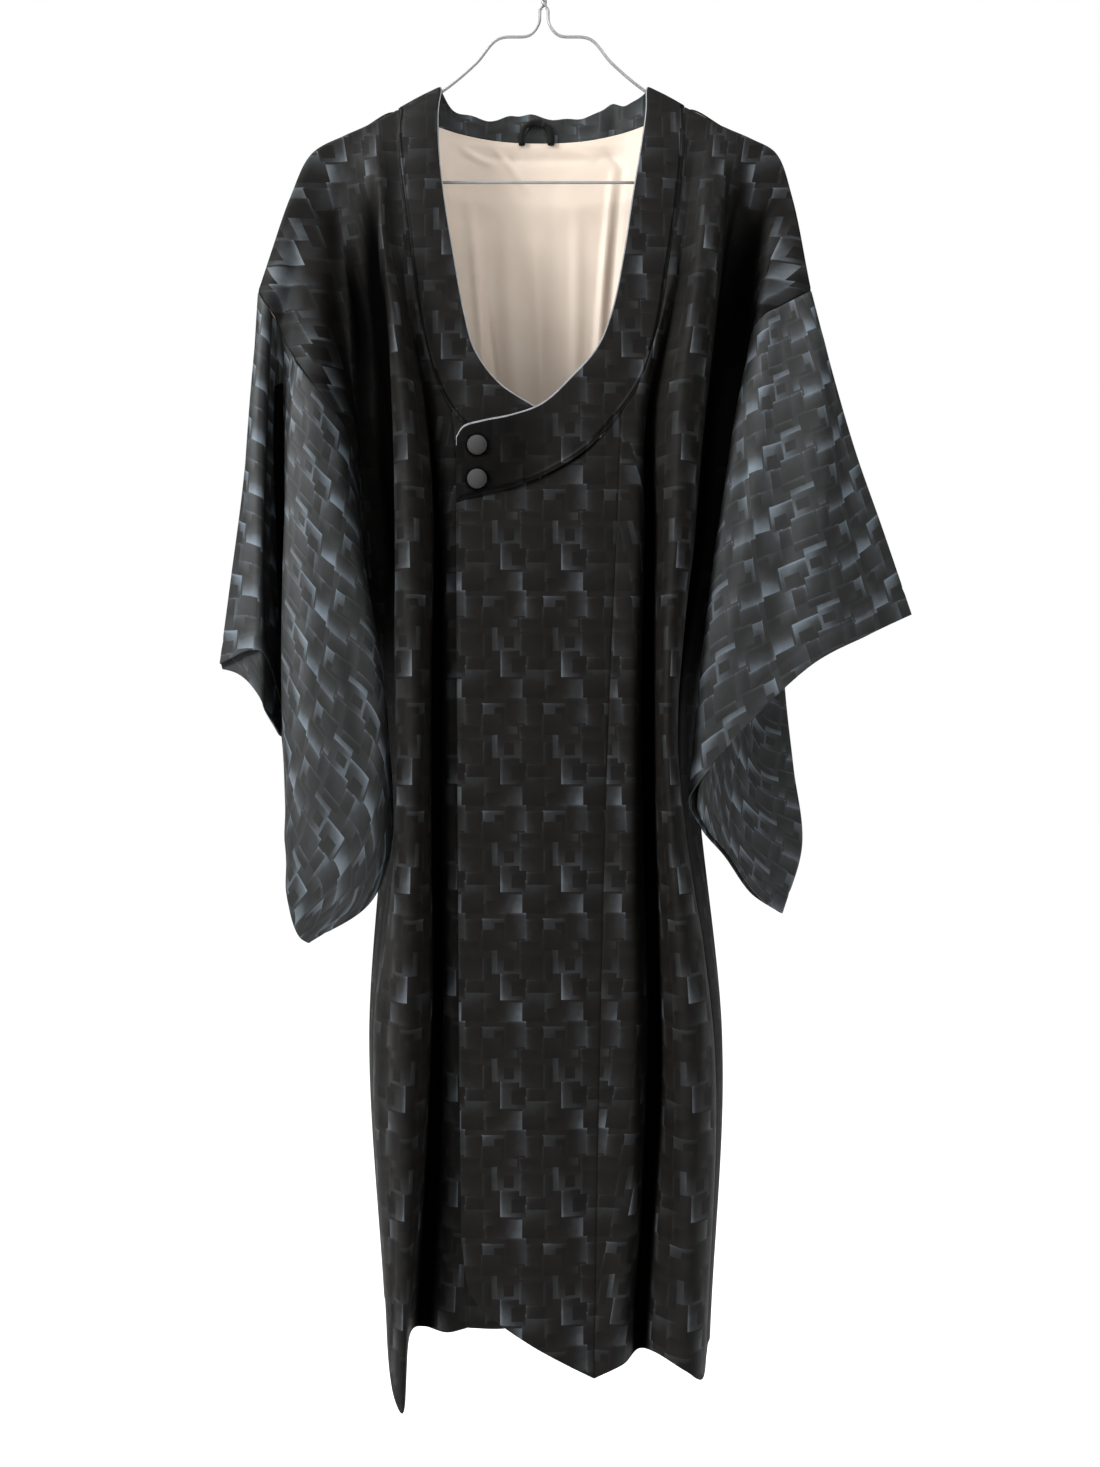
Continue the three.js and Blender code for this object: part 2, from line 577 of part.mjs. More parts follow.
// the inner line of a front: sewn to the neck band as far as the yoke, then to the overlap
function neckLine(row, shoulder, collar, facing) {
  const heights = levelHeights(row.hem);
  const start = shoulderRows(shoulder.line, row.along, shoulder.length, RIDGE_RADIUS, facing);
  const bend = start.pop();
  const sewn = collar.slice(0, SEWN_BAND_ROWS);
  const places = sewn.map(({ outer, y }) => new THREE.Vector3(outer[0], y, outer[1]));
  const lower = heights.slice(2).map((z, i) => new THREE.Vector3(row.x[i + 2], row.y[i + 2], z));
  return [
    ...start,
    bend,
    ...places.slice(0, -1),
    ...sampleSpans([places[places.length - 1], ...lower], ROWS_PER_SPAN.slice(2)),
  ];
}

// how far from the hanger's plane the rows that bend over the wire stay
const LEAST_AT_RIDGE = [CLEAR / 2, RIDGE_RADIUS * 0.7, RIDGE_RADIUS];

// no cloth crosses the plane of the hanger where its wire runs
function clearOfHanger(grid, facing) {
  grid.forEach((row, r) => row.forEach((place) => {
    const full = r < RIDGE_STEPS.length ? LEAST_AT_RIDGE[r] : RIDGE_RADIUS + CLEAR;
    const least = r === 0 ? full : full + Math.min(0, (place.z - BAR.z + BAR.margin) * BAR.fade);
    place.y = facing * Math.max(facing * place.y, least);
  }));
  return grid;
}

function panelGrid(table, shoulder, edge, facing, collar) {
  const lines = table.map((row, i) => {
    if (i === table.length - 1) return sideLine(row, edge);
    if (i === 0 && collar) return neckLine(row, shoulder, collar, facing);
    return panelLine(row, shoulder, facing);
  });
  return clearOfHanger(gridFromLines(lines, COLUMN_STEPS), facing);
}

const PANEL_TRIMS = { first: SEAM_TRIM, last: SEAM_TRIM };

function overlapGrid(table) {
  const lines = table.map(({ top, hem, at }) => {
    const heights = [top, LEVELS.underarm, LEVELS.waist, LEVELS.knee, hem];
    const places = heights.map((z, i) => new THREE.Vector3(at[i][0], at[i][1], z));
    return sampleSpans(places, [2, 4, 4, 4]);
  });
  return gridFromLines(lines, COLUMN_STEPS);
}

// ---- neck bands ----

// the rows of a band, each from its neck edge to its sewn edge, a little crowned between
function bandRows(pairs, crown) {
  return pairs.map(([inner, outer]) => {
    const middle = inner.clone().add(outer).multiplyScalar(0.5).add(crown);
    return samplesEach([inner, middle, outer], COLUMN_STEPS);
  });
}

// the rows that carry a band over the shoulder
function bandShoulder(shoulder, width, facing) {
  const lift = (COLLAR_CLOTH - CLOTH) / 2;
  const radius = RIDGE_RADIUS + lift;
  const start = (along) => shoulderRows(shoulder.line, along, shoulder.length, radius, facing, lift);
  const inner = start(0);
  const outer = start(width);
  return inner.map((place, i) => [place, outer[i]]);
}

function frontCollar(table, shoulder, width, gap = 0) {
  const listed = table.map(({ inner, outer, y }) => [
    new THREE.Vector3(inner[0], y, inner[1]), new THREE.Vector3(outer[0], y, outer[1]),
  ]);
  const pairs = [...bandShoulder(shoulder, width, -1), ...listed];
  const rows = bandRows(pairs, new THREE.Vector3(0, -1.2, 0));
  const matched = RIDGE_STEPS.length - 1 + SEWN_BAND_ROWS;
  const spans = pairs.slice(1).map((_, i) => (i < matched ? 1 : 2));
  const lines = transpose(rows).map((line) => sampleSpans(line, spans));
  const band = trimGrid(transpose(lines), { last: SEAM_TRIM - gap });
  return wall(band, COLLAR_CLOTH + 2 * gap, { mirrored: true });
}

function backCollar(leftShoulder, rightShoulder) {
  const listed = BACK_COLLAR.map(({ inner, outer }) => [point(inner), point(outer)]);
  const pairs = [
    ...bandShoulder(rightShoulder, RIGHT_FRONT[0].along, 1),
    ...listed,
    ...bandShoulder(leftShoulder, LEFT_FRONT[0].along, 1).reverse(),
  ];
  const rows = bandRows(pairs, new THREE.Vector3(0, 1, 0));
  const ends = RIDGE_STEPS.length - 1;
  const spans = pairs.slice(1).map((_, i) => (i < ends || i >= pairs.length - 1 - ends ? 1 : 3));
  const lines = transpose(rows).map((line) => sampleSpans(line, spans));
  const band = trimGrid(transpose(lines), { last: BAND_TRIM });
  return wall(band, COLLAR_CLOTH, { mirrored: true, mirroredEnd: true });
}

function backLining() {
  const lines = LINING.map(({ x, top, y }) => {
    const heights = [top, ...LINING_LEVELS];
    return samplesEach(heights.map((z, i) => new THREE.Vector3(x, y[i], z)), 3);
  });
  return wall(gridFromLines(lines, 2), LINING_CLOTH);
}

// ---- small pieces ----

const BUTTON = { radius: 8.5, foot: 0.8, rim: 1.5, height: 6, x: -57, y: -51.8, upper: -466, lower: -495 };
const LOOP = { x: -7, halfWidth: 15, foot: -176, top: -153, y: 33.4, radius: 3 };

function coveredButton() {
  const steps = 4;
  const dome = Array.from({ length: steps + 1 }, (_, i) => {
    const angle = (Math.PI / 2) * (i / steps);
    const reach = i === steps ? 0 : BUTTON.radius * Math.cos(angle);
    const height = BUTTON.rim + (BUTTON.height - BUTTON.rim) * Math.sin(angle);
    return new THREE.Vector2(reach, height);
  });
  const foot = [new THREE.Vector2(0, 0), new THREE.Vector2(BUTTON.radius - BUTTON.foot, 0)];
  const profile = [...foot, ...dome];
  const geometry = new THREE.LatheGeometry(profile, 16);
  geometry.deleteAttribute("normal");
  geometry.deleteAttribute("uv");
  return mergeVertices(geometry, 1e-4);
}

function hangingLoop() {
  const steps = 12;
  const places = Array.from({ length: steps + 1 }, (_, i) => {
    const angle = Math.PI * (i / steps);
    const rise = Math.sin(angle) ** 0.8;
    const lean = 1 - 0.12 * (1 - rise);
    return new THREE.Vector3(
      LOOP.x - LOOP.halfWidth * Math.cos(angle) * lean,
      LOOP.y,
      LOOP.foot + (LOOP.top - LOOP.foot) * rise,
    );
  });
  const forwards = new THREE.Vector3(0, 1, 0);
  return rod(places.map((place, i) => {
    const before = places[Math.max(i - 1, 0)];
    const after = places[Math.min(i + 1, steps)];
    const tangent = after.clone().sub(before).normalize();
    return ringAround(place, tangent, forwards, LOOP.radius * 0.6, LOOP.radius, 8);
  }));
}

// ---- hanger ----

function hook() {
  const radius = HOOK.inner + WIRE / 2;
  const degrees = THREE.MathUtils.degToRad;
  const arc = Array.from({ length: 21 }, (_, i) => {
    const angle = degrees(-62 + (HOOK.mouth + 62 + 30) * (i / 20));
    return new THREE.Vector3(radius * Math.cos(angle), 0, -HOOK.inner + radius * Math.sin(angle));
  });
  const stem = smoothCurve([
    new THREE.Vector3(0, 0, HOOK.stem + CLEAR), new THREE.Vector3(1.2, 0, HOOK.stem + 4), arc[0],
  ]).getPoints(5);
  return wire([...stem.slice(0, -1), ...arc]);
}

// two wires wound round each other, as one twisted rod
function neckTwist() {
  const steps = 16;
  return rod(Array.from({ length: steps + 1 }, (_, i) => {
    const share = i / steps;
    const angle = 2 * Math.PI * NECK_TWIST.turns * share;
    const sideways = new THREE.Vector3(Math.cos(angle), Math.sin(angle), 0);
    const centre = new THREE.Vector3(0, 0, NECK_TWIST.top + (NECK_TWIST.bottom - NECK_TWIST.top) * share);
    const upwards = new THREE.Vector3(0, 0, 1);
    return ringAround(centre, upwards, sideways, WIRE / 2 + NECK_TWIST.apart, WIRE / 2, 12);
  }));
}

// one arm: down from the neck, along the shoulder and round the tip to the lower bar
function hangerArm(side) {
  const under = RIDGE_RADIUS;
  const start = new THREE.Vector3(side * 1.8, 0, NECK_TWIST.bottom - 4 * CLEAR);
  const rise = ARM.rise.map(([x, z]) => new THREE.Vector3(side * x, 0, z));
  const slope = new THREE.Vector3(NECK.x, 0, NECK.z - under * ARM.below);
  const tipX = HANGER_TIP.x - ARM.tipInset;
  const tip = new THREE.Vector3(tipX, 0, HANGER_TIP.z + ARM.tipInset * ARM.slope - under * ARM.below);
  const along = (share) => slope.clone().lerp(tip, share);
  const mirrored = (place) => new THREE.Vector3(side * place.x, place.y, place.z);
  const straight = [0, 0.25, 0.5, 0.75, 0.94].map((share) => mirrored(along(share)));
  const turn = [
    [tipX - 0.5, tip.z - 4], [tipX - 1, tip.z - 10],
    [tipX - 5, BAR.z + 1.5], [BAR.end + BAR.straight, BAR.z], [BAR.end + CLEAR, BAR.z],
  ].map(([x, z]) => new THREE.Vector3(side * x, 0, z));
  const corners = [start, ...rise, ...straight, ...turn];
  return wire(samplesEach(corners, 2));
}

function hangerBar() {
  const ends = [-1, -0.5, 0, 0.5, 1].map((share) => new THREE.Vector3(share * BAR.end, 0, BAR.z));
  return wire(ends);
}

// ---- finishes ----

const satin = () => new THREE.MeshStandardMaterial({ color: 0x232427, roughness: 0.55, metalness: 0 });
const liningSilk = () => new THREE.MeshStandardMaterial({ color: 0xb7a896, roughness: 0.5, metalness: 0 });
const steel = () => new THREE.MeshStandardMaterial({ color: 0x9a9ca0, roughness: 0.35, metalness: 1 });

// ---- assembly ----

const coat = new THREE.Group();

function add(name, geometry, material) {
  const mesh = new THREE.Mesh(geometry, material);
  mesh.name = name;
  coat.add(mesh);
  return mesh;
}

const SIDES = [
  {
    name: "left", side: 1, sleeve: LEFT_SLEEVE, front: LEFT_FRONT, back: LEFT_BACK,
    overlap: LEFT_OVERLAP, collar: LEFT_COLLAR, overlapSeam: "last",
  },
  {
    name: "right", side: -1, sleeve: RIGHT_SLEEVE, front: RIGHT_FRONT, back: RIGHT_BACK,
    overlap: RIGHT_OVERLAP, collar: RIGHT_COLLAR, overlapSeam: "first",
  },
];

const shoulders = {};

for (const half of SIDES) {
  const layers = sleeveLayers(half.sleeve);
  const line = shoulderLine(half.side, point(half.sleeve[0].at[0]));
  const length = line.getLength();
  const tipAlong = HANGER_TIP.distanceTo(NECK);
  const radiusAt = (along) => THREE.MathUtils.mapLinear(
    THREE.MathUtils.clamp(along, tipAlong, length), tipAlong, length, RIDGE_RADIUS, half.sleeve[0].gap,
  );
  const shoulder = { line, length, radiusAt };
  shoulders[half.name] = shoulder;
  const frontEdge = armholeEdge(layers.front, half.sleeve);
  const backEdge = armholeEdge(layers.back, half.sleeve);
  const front = panelGrid(half.front, shoulder, frontEdge, -1, half.collar);
  const back = panelGrid(half.back, shoulder, backEdge, 1);
  const panelWall = (grid) => wall(trimGrid(grid, PANEL_TRIMS), CLOTH, { mirrored: true });
  const sleeve = sleeveWall(layers);
  const wideSleeve = sleeveWall(layers, CLEAR);
  const wideCollar = frontCollar(half.collar, shoulder, half.front[0].along, CLEAR);
  add(`front_${half.name}`, cutClear(panelWall(front), [wideSleeve, sleeve, wideCollar]), satin());
  add(`back_${half.name}`, cutClear(panelWall(back), [wideSleeve, sleeve]), satin());
  add(`sleeve_${half.name}`, sleeve, satin());
  const overlapTrims = { top: SEAM_TRIM, [half.overlapSeam]: SEAM_TRIM };
  add(`overlap_${half.name}`, wall(trimGrid(overlapGrid(half.overlap), overlapTrims), CLOTH), satin());
  add(`collar_${half.name}`, frontCollar(half.collar, shoulder, half.front[0].along), satin());
}

add("collar_back", backCollar(shoulders.left, shoulders.right), satin());
add("lining_back", backLining(), liningSilk());
add("hanging_loop", hangingLoop(), satin());

for (const [name, height] of [["button_upper", BUTTON.upper], ["button_lower", BUTTON.lower]]) {
  const button = add(name, coveredButton(), satin());
  button.rotation.x = Math.PI;
  button.position.set(BUTTON.x, BUTTON.y, height);
}

add("hanger_hook", hook(), steel());
add("hanger_neck", neckTwist(), steel());
add("hanger_arm_left", hangerArm(1), steel());
add("hanger_arm_right", hangerArm(-1), steel());
add("hanger_bar", hangerBar(), steel());

export default coat;
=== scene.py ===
"""A full-length kimono coat on a wire hanger: the cloth, band, lining, buttons and wire.

Sizes are millimetres in the part's own frame: X across the coat with the wearer's left at +X,
the front towards -Y, Z up, and the origin at the inside top of the hanger's hook.
Every shape is a numpy surface over two parameters, made metres when it becomes a mesh.
"""

from __future__ import annotations

import logging
import math
from dataclasses import dataclass
from enum import Enum

import bmesh
import bpy
import numpy as np
from bpy.types import Material, Node, NodeSocket, NodeTree, Object
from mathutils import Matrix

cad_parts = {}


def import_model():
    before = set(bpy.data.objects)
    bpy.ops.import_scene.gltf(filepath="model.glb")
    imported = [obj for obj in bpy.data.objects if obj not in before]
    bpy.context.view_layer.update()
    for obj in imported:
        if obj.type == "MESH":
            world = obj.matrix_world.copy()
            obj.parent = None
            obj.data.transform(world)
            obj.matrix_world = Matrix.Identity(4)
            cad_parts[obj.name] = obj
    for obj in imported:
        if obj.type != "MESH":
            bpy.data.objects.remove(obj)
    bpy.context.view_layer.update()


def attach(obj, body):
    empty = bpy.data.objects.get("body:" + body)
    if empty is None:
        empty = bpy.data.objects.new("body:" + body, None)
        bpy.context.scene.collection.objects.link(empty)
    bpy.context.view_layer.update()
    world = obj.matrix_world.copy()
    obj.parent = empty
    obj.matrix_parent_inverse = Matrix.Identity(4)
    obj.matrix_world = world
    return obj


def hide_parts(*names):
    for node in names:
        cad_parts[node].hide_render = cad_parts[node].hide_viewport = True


LOG = logging.getLogger("kimono_coat")
MM = 0.001
BODY = "root"
FINE_STEPS = 40  # steps for each control point where a curve's length is measured

Colour = tuple[float, float, float, float]


# ---------------------------------------------------------------- choices


class Layer(Enum):
    """Which face of the coat a panel belongs to."""

    FRONT = -1
    BACK = 1


class Slot(Enum):
    """The material slots of the model."""

    BROCADE = "brocade"
    LINING = "lining"
    BUTTON = "button_cloth"
    WIRE = "wire"


# ---------------------------------------------------------------- curves


def spline(points: np.ndarray, places: np.ndarray) -> np.ndarray:
    """Centripetal Catmull-Rom curve through points.

    Each stretch is a cubic through its two ends, whose slopes come from the neighbours,
    with knots spaced by the square root of the distance between points.

    Args:
        points: control points, first axis along the curve, last axis x, y, z.
        places: positions along the curve, counted in control points from 0.

    Returns:
        The points on the curve, first axis as places.
    """
    first = 2 * points[:1] - points[1:2]
    last = 2 * points[-1:] - points[-2:-1]
    padded = np.concatenate([first, points, last])
    start = np.clip(np.floor(places).astype(int), 0, len(points) - 2)
    p0, p1, p2, p3 = (padded[start + k] for k in range(4))
    shape = (-1,) + (1,) * (points.ndim - 1)
    t = (places - start).reshape(shape)

    def knot(a: np.ndarray, b: np.ndarray) -> np.ndarray:
        """Root of the distance between two rows of points."""
        return np.sqrt(np.maximum(np.linalg.norm(b - a, axis=-1, keepdims=True), 1e-6))

    d0, d1, d2 = knot(p0, p1), knot(p1, p2), knot(p2, p3)
    m1 = ((p1 - p0) / d0 - (p2 - p0) / (d0 + d1) + (p2 - p1) / d1) * d1
    m2 = ((p2 - p1) / d1 - (p3 - p1) / (d1 + d2) + (p3 - p2) / d2) * d1
    c2 = -3 * p1 + 3 * p2 - 2 * m1 - m2
    c3 = 2 * p1 - 2 * p2 + m1 + m2
    return p1 + m1 * t + c2 * t**2 + c3 * t**3


def lengths_along(points: np.ndarray, axis: int) -> np.ndarray:
    """Length along rows or columns of points, from 0 at the first one.

    Args:
        points: N x 3, or rows x columns x 3.
        axis: the axis on which the points follow one another.

    Returns:
        The lengths, in the shape of points without its last axis.
    """
    steps = np.linalg.norm(np.diff(points, axis=axis), axis=-1)
    return np.insert(np.cumsum(steps, axis=axis), 0, 0.0, axis=axis)


def by_length(points: np.ndarray, shares: np.ndarray) -> np.ndarray:
    """Points at given shares of the length of the smooth curve through points.

    Args:
        points: control points, N x 3.
        shares: shares of the curve's length, 0 to 1.

    Returns:
        The points there.
    """
    places = np.linspace(0, len(points) - 1, FINE_STEPS * len(points))
    along = lengths_along(spline(points, places), 0)
    return spline(points, np.interp(shares * along[-1], along, places))


def curve_length(points: np.ndarray) -> float:
    """Length of the smooth curve through points."""
    places = np.linspace(0, len(points) - 1, FINE_STEPS * len(points))
    return float(lengths_along(spline(points, places), 0)[-1])


def unit(vectors: np.ndarray) -> np.ndarray:
    """Vectors at length one."""
    return vectors / np.maximum(np.linalg.norm(vectors, axis=-1, keepdims=True), 1e-12)


def smoothstep(t: np.ndarray) -> np.ndarray:
    """The soft step 3t^2 - 2t^3, held at 0 and 1 outside."""
    t = np.clip(t, 0, 1)
    return t * t * (3 - 2 * t)


def edged(count: float, steps: int, near: tuple[float, ...]) -> np.ndarray:
    """Even places from 0 to count, with a few more close to both ends.

    Args:
        count: the last place.
        steps: how many even steps.
        near: distances of the extra places from each end.

    Returns:
        The sorted places.
    """
    extra = np.array(near)
    return np.unique(np.concatenate([np.linspace(0, count, steps + 1), extra, count - extra]))


def calm_edges(lengths: np.ndarray, reach: float) -> np.ndarray:
    """0 at both ends of each row and 1 from a reach further in, so that creases end before a seam.

    Args:
        lengths: length along each row, on the last axis.
        reach: the distance from the ends.

    Returns:
        The same shape as lengths.
    """
    rest = lengths[..., -1:] - lengths
    return np.clip(lengths / reach, 0, 1) * np.clip(rest / reach, 0, 1)


# ---------------------------------------------------------------- surfaces


def surface_normals(
    grid: np.ndarray, closed: bool = False, mirror: tuple[bool, bool] = (False, False)
) -> np.ndarray:
    """Unit normals: the cross product of the slopes down the rows and across the columns.

    Args:
        grid: rows x columns x 3.
        closed: whether the last column joins the first.
        mirror: whether the surface goes on beyond its first and last row, turned over in Y.

    Returns:
        A unit normal for every point.
    """
    flip = np.array([1.0, -1.0, 1.0])
    above = (grid[1] * flip if mirror[0] else grid[0])[None]
    below = (grid[-2] * flip if mirror[1] else grid[-1])[None]
    tall = np.concatenate([above, grid, below])
    down = tall[2:] - tall[:-2]
    if closed:
        across = np.roll(grid, -1, axis=1) - np.roll(grid, 1, axis=1)
    else:
        wide = np.concatenate([grid[:, :1], grid, grid[:, -1:]], axis=1)
        across = wide[:, 2:] - wide[:, :-2]
    return unit(np.cross(down, across))


def outward(normals: np.ndarray, at: tuple[int, int], layer: Layer) -> np.ndarray:
    """The normals, turned over if the one at a place doesn't point to its layer's face of the coat."""
    return normals * (1 if normals[at][1] * layer.value > 0 else -1)


def cloth_places(grid: np.ndarray, reference: int = 0, blend: int = 12) -> np.ndarray:
    """Flat cloth places of a hung surface whose grain is upright, in millimetres.

    Across is the length along each row from the reference column, drawn to its mean over the
    rows beyond that column. Down is the drop.

    Args:
        grid: rows x columns x 3.
        reference: the column whose across place is 0.
        blend: columns about it over which the mean takes over.

    Returns:
        rows x columns x 2, across and down.
    """
    lengths = lengths_along(grid, 1)
    across = lengths - lengths[:, reference : reference + 1]
    share = smoothstep((np.arange(grid.shape[1]) - reference + blend / 2) / blend)
    across = across * (1 - share) + across.mean(axis=0) * share
    return np.stack([across, -grid[..., 2]], axis=2)


@dataclass(frozen=True)
class Crease:
    """A soft trough or ridge along a bowed line in the X-Z plane, fading out at both ends.

    The rise is depth times exp(-(d / width)^2), where d is the distance from the line,
    and depth is above 0 for a ridge and below 0 for a trough.
    """

    start: tuple[float, float]
    end: tuple[float, float]
    width: float
    depth: float
    bow: float = 0.0

    def rise(self, x: np.ndarray, z: np.ndarray) -> np.ndarray:
        """How far the cloth stands out at each place.

        Args:
            x: places across.
            z: heights.

        Returns:
            The rise in millimetres.
        """
        way = np.subtract(self.end, self.start)
        size = float(np.hypot(*way))
        way = way / size
        dx, dz = x - self.start[0], z - self.start[1]
        share = (dx * way[0] + dz * way[1]) / size
        off = dz * way[0] - dx * way[1] - self.bow * 4 * share * (1 - share)
        fade = np.sin(np.pi * np.clip(share, 0, 1)) ** 0.7
        return self.depth * fade * np.exp(-((off / self.width) ** 2))


def creases(*rows: tuple) -> tuple[Crease, ...]:
    """Creases from rows of start, end, width, depth and, where it isn't 0, bow."""
    return tuple(Crease(*row) for row in rows)


def drape(x: np.ndarray, z: np.ndarray) -> np.ndarray:
    """A faint unevenness of hung cloth: two sets of crossed ripples, 0.35 and 0.2 mm high."""
    broad = 0.35 * np.sin(x / 17 + 1.3 * np.sin(z / 96)) * np.sin(z / 61 + x / 43)
    return broad + 0.2 * np.sin(x / 7.3 + z / 190) * np.sin(z / 37 - x / 29)


def creased(
    grid: np.ndarray, normals: np.ndarray, folds: tuple[Crease, ...], facing: np.ndarray
) -> np.ndarray:
    """The surface pushed along its normals by its creases and a faint drape.

    Args:
        grid: rows x columns x 3.
        normals: the same shape.
        folds: the troughs and ridges.
        facing: 1 where the normals point out of the coat, -1 elsewhere, 0 where nothing moves.

    Returns:
        The moved surface.
    """
    x, z = grid[..., 0], grid[..., 2]
    rise = drape(x, z)
    for fold in folds:
        rise = rise + fold.rise(x, z)
    return grid + normals * (rise * facing)[..., None]


def recesses(out: np.ndarray, reach: int, depth: float) -> np.ndarray:
    """How deep each place lies in a fold, 0 to 1, for the painted shade there.

    It is the mean of how far the row's neighbours stand out, less how far the place does,
    over a depth.

    Args:
        out: how far each place stands out, rows x columns.
        reach: columns on each side that make the mean.
        depth: the difference that counts as 1.

    Returns:
        The same shape as out.
    """
    wide = np.pad(out, ((0, 0), (reach + 1, reach)), mode="edge")
    total = np.cumsum(wide, axis=1)
    mean = (total[:, 2 * reach + 1 :] - total[:, : -2 * reach - 1]) / (2 * reach + 1)
    return smoothstep((mean - out) / depth)


def sunk(grid: np.ndarray, moved: np.ndarray, normals: np.ndarray, depth: float = 8.0) -> np.ndarray:
    """How far the creases pressed each place in, 0 to 1, where 1 is a given depth, for the painted shade
    in folds.

    Args:
        grid: rows x columns x 3, before the creases.
        moved: the same places after them.
        normals: the same shape.
        depth: the depth that counts as 1.

    Returns:
        Rows x columns.
    """
    return smoothstep(((grid - moved) * normals).sum(axis=2) / depth)


def seam_dip(distance: np.ndarray, depth: float = 0.6, width: float = 1.15) -> np.ndarray:
    """How far cloth pulls in beside a seam: depth times exp(-(distance / width)^2)."""
    return depth * np.exp(-((distance / width) ** 2))


@dataclass
class Shell:
    """A thin closed wall of cloth round a surface, with its outer and inner faces apart.

    The first columns of the outer face may carry a painted highlight, a thin light line along
    the edge, which goes round the corner on a few columns of its last rows. Each place may carry
    painted shade, for how deep it lies in a fold or how near a button, and painted sheen, for how
    far the cloth is turned to the side there.
    """

    name: str
    middle: np.ndarray
    normals: np.ndarray
    cloth: np.ndarray
    thickness: float
    closed: bool = False
    # Columns and last rows of the painted edge highlight.
    highlight_columns: int = 0
    highlight_end_rows: int = 0
    highlight_corner_columns: int = 3
    # Painted shade and painted sheen at each point.
    painted_shade: np.ndarray | None = None
    painted_sheen: np.ndarray | None = None

    def faces(self) -> tuple[np.ndarray, np.ndarray, np.ndarray]:
        """Quads of both faces and of the rims.

        Outer points come first and inner points after them. A closed wall has no side rims.

        Returns:
            The corners of each quad, the cloth place of each corner, and each quad's face kind.
        """
        rows, columns = self.middle.shape[:2]
        wide = self.cloth.shape[1]
        last = columns if self.closed else columns - 1
        r, c = (g.ravel() for g in np.meshgrid(np.arange(rows - 1), np.arange(last), indexing="ij"))

        def corner(row: np.ndarray, column: np.ndarray) -> tuple[np.ndarray, np.ndarray]:
            """Index of a grid point and of its cloth place."""
            return row * columns + column % columns, row * wide + column

        ring = [corner(r, c), corner(r, c + 1), corner(r + 1, c + 1), corner(r + 1, c)]
        outer = np.stack([k[0] for k in ring], axis=1)
        places = np.stack([k[1] for k in ring], axis=1)
        inner = outer[:, ::-1] + rows * columns
        quads, marks = [outer, inner], [places, places[:, ::-1]]
        # Quads of the painted edge highlight: the first columns, and round the corner on the last rows.
        at_end = (r >= rows - 1 - self.highlight_end_rows) & (c < self.highlight_columns + self.highlight_corner_columns)
        highlighted = (c < self.highlight_columns) | at_end
        kinds = [np.where(highlighted, 2, 0), np.ones(len(inner), int)]

        def rim(a: tuple[np.ndarray, np.ndarray], b: tuple[np.ndarray, np.ndarray]) -> None:
            """Quads that join an edge of the outer face to the inner one."""
            behind = rows * columns
            quads.append(np.stack([b[0], a[0], a[0] + behind, b[0] + behind], axis=1))
            marks.append(np.stack([b[1], a[1], a[1], b[1]], axis=1))
            kinds.append(np.zeros(len(a[0]), int))

        edge = np.arange(last)
        top, bottom = np.zeros(last, int), np.full(last, rows - 1)
        rim(corner(top, edge), corner(top, edge + 1))
        rim(corner(bottom, edge + 1), corner(bottom, edge))
        if not self.closed:
            side = np.arange(rows - 1)
            first, final = np.zeros(rows - 1, int), np.full(rows - 1, columns - 1)
            rim(corner(side + 1, first), corner(side, first))
            rim(corner(side, final), corner(side + 1, final))
        return np.concatenate(quads), np.concatenate(marks), np.concatenate(kinds)

    def build(self, *finishes: Material) -> Object:
        """Makes the mesh, its cloth UV map and its finishes.

        Args:
            finishes: of the outer face and the rims, of the inner face, and of the painted edge
                highlight.

        Returns:
            The object, linked to the scene.
        """
        half = self.normals * self.thickness / 2
        points = np.concatenate([self.middle + half, self.middle - half]).reshape(-1, 3)
        quads, marks, kinds = self.faces()
        a, b, c, d = (points[quads[:, k]] for k in range(4))
        volume = (a * np.cross(b, c)).sum() + (a * np.cross(c, d)).sum()
        if volume < 0:
            quads, marks = quads[:, ::-1], marks[:, ::-1]
        cloth = self.cloth.reshape(-1, 2)[marks]
        piece = mesh_object(self.name, points, quads, list(finishes), kinds, cloth)
        # Painted shade and painted sheen, given to the points for the brocade to read.
        for title, values in (("painted_shade", self.painted_shade), ("painted_sheen", self.painted_sheen)):
            if values is not None:
                mark_points(piece, title, np.tile(values.ravel(), 2))
        return piece


def mesh_object(
    name: str,
    points: np.ndarray,
    quads: np.ndarray,
    finishes: list[Material],
    finish_of: np.ndarray | None = None,
    places: np.ndarray | None = None,
) -> Object:
    """A smooth mesh object in metres at the origin.

    Args:
        name: the piece's name.
        points: N x 3 in millimetres.
        quads: M x 4 corners, facing out.
        finishes: the materials.
        finish_of: the material index of each quad.
        places: M x 4 x 2 cloth places in millimetres, put into the UV map in metres.

    Returns:
        The object, linked to the scene.
    """
    mesh = bpy.data.meshes.new(f"{name}_piece")
    mesh.from_pydata((points * MM).tolist(), [], quads.tolist())
    for finish in finishes:
        mesh.materials.append(finish)
    if finish_of is not None:
        mesh.polygons.foreach_set("material_index", finish_of.astype(np.int32))
    mesh.polygons.foreach_set("use_smooth", np.ones(len(quads), bool))
    if places is not None:
        layer = mesh.uv_layers.new(name="cloth")
        layer.data.foreach_set("uv", (places * MM).astype(np.float32).ravel())
    mesh.update()
    piece = bpy.data.objects.new(f"{name}_piece", mesh)
    bpy.context.scene.collection.objects.link(piece)
    LOG.info("%s: %d faces", name, len(quads))
    return piece


def mark_points(piece: Object, title: str, values: np.ndarray) -> None:
    """Gives each point of a piece a value, which its finish reads by the title."""
    layer = piece.data.attributes.new(title, "FLOAT", "POINT")
    layer.data.foreach_set("value", values.astype(np.float32))


def stands_for(piece: Object, node: str) -> None:
    """Rides the coat's body and stands for a solid, whose node it hides."""
    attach(piece, BODY)
    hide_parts(node)


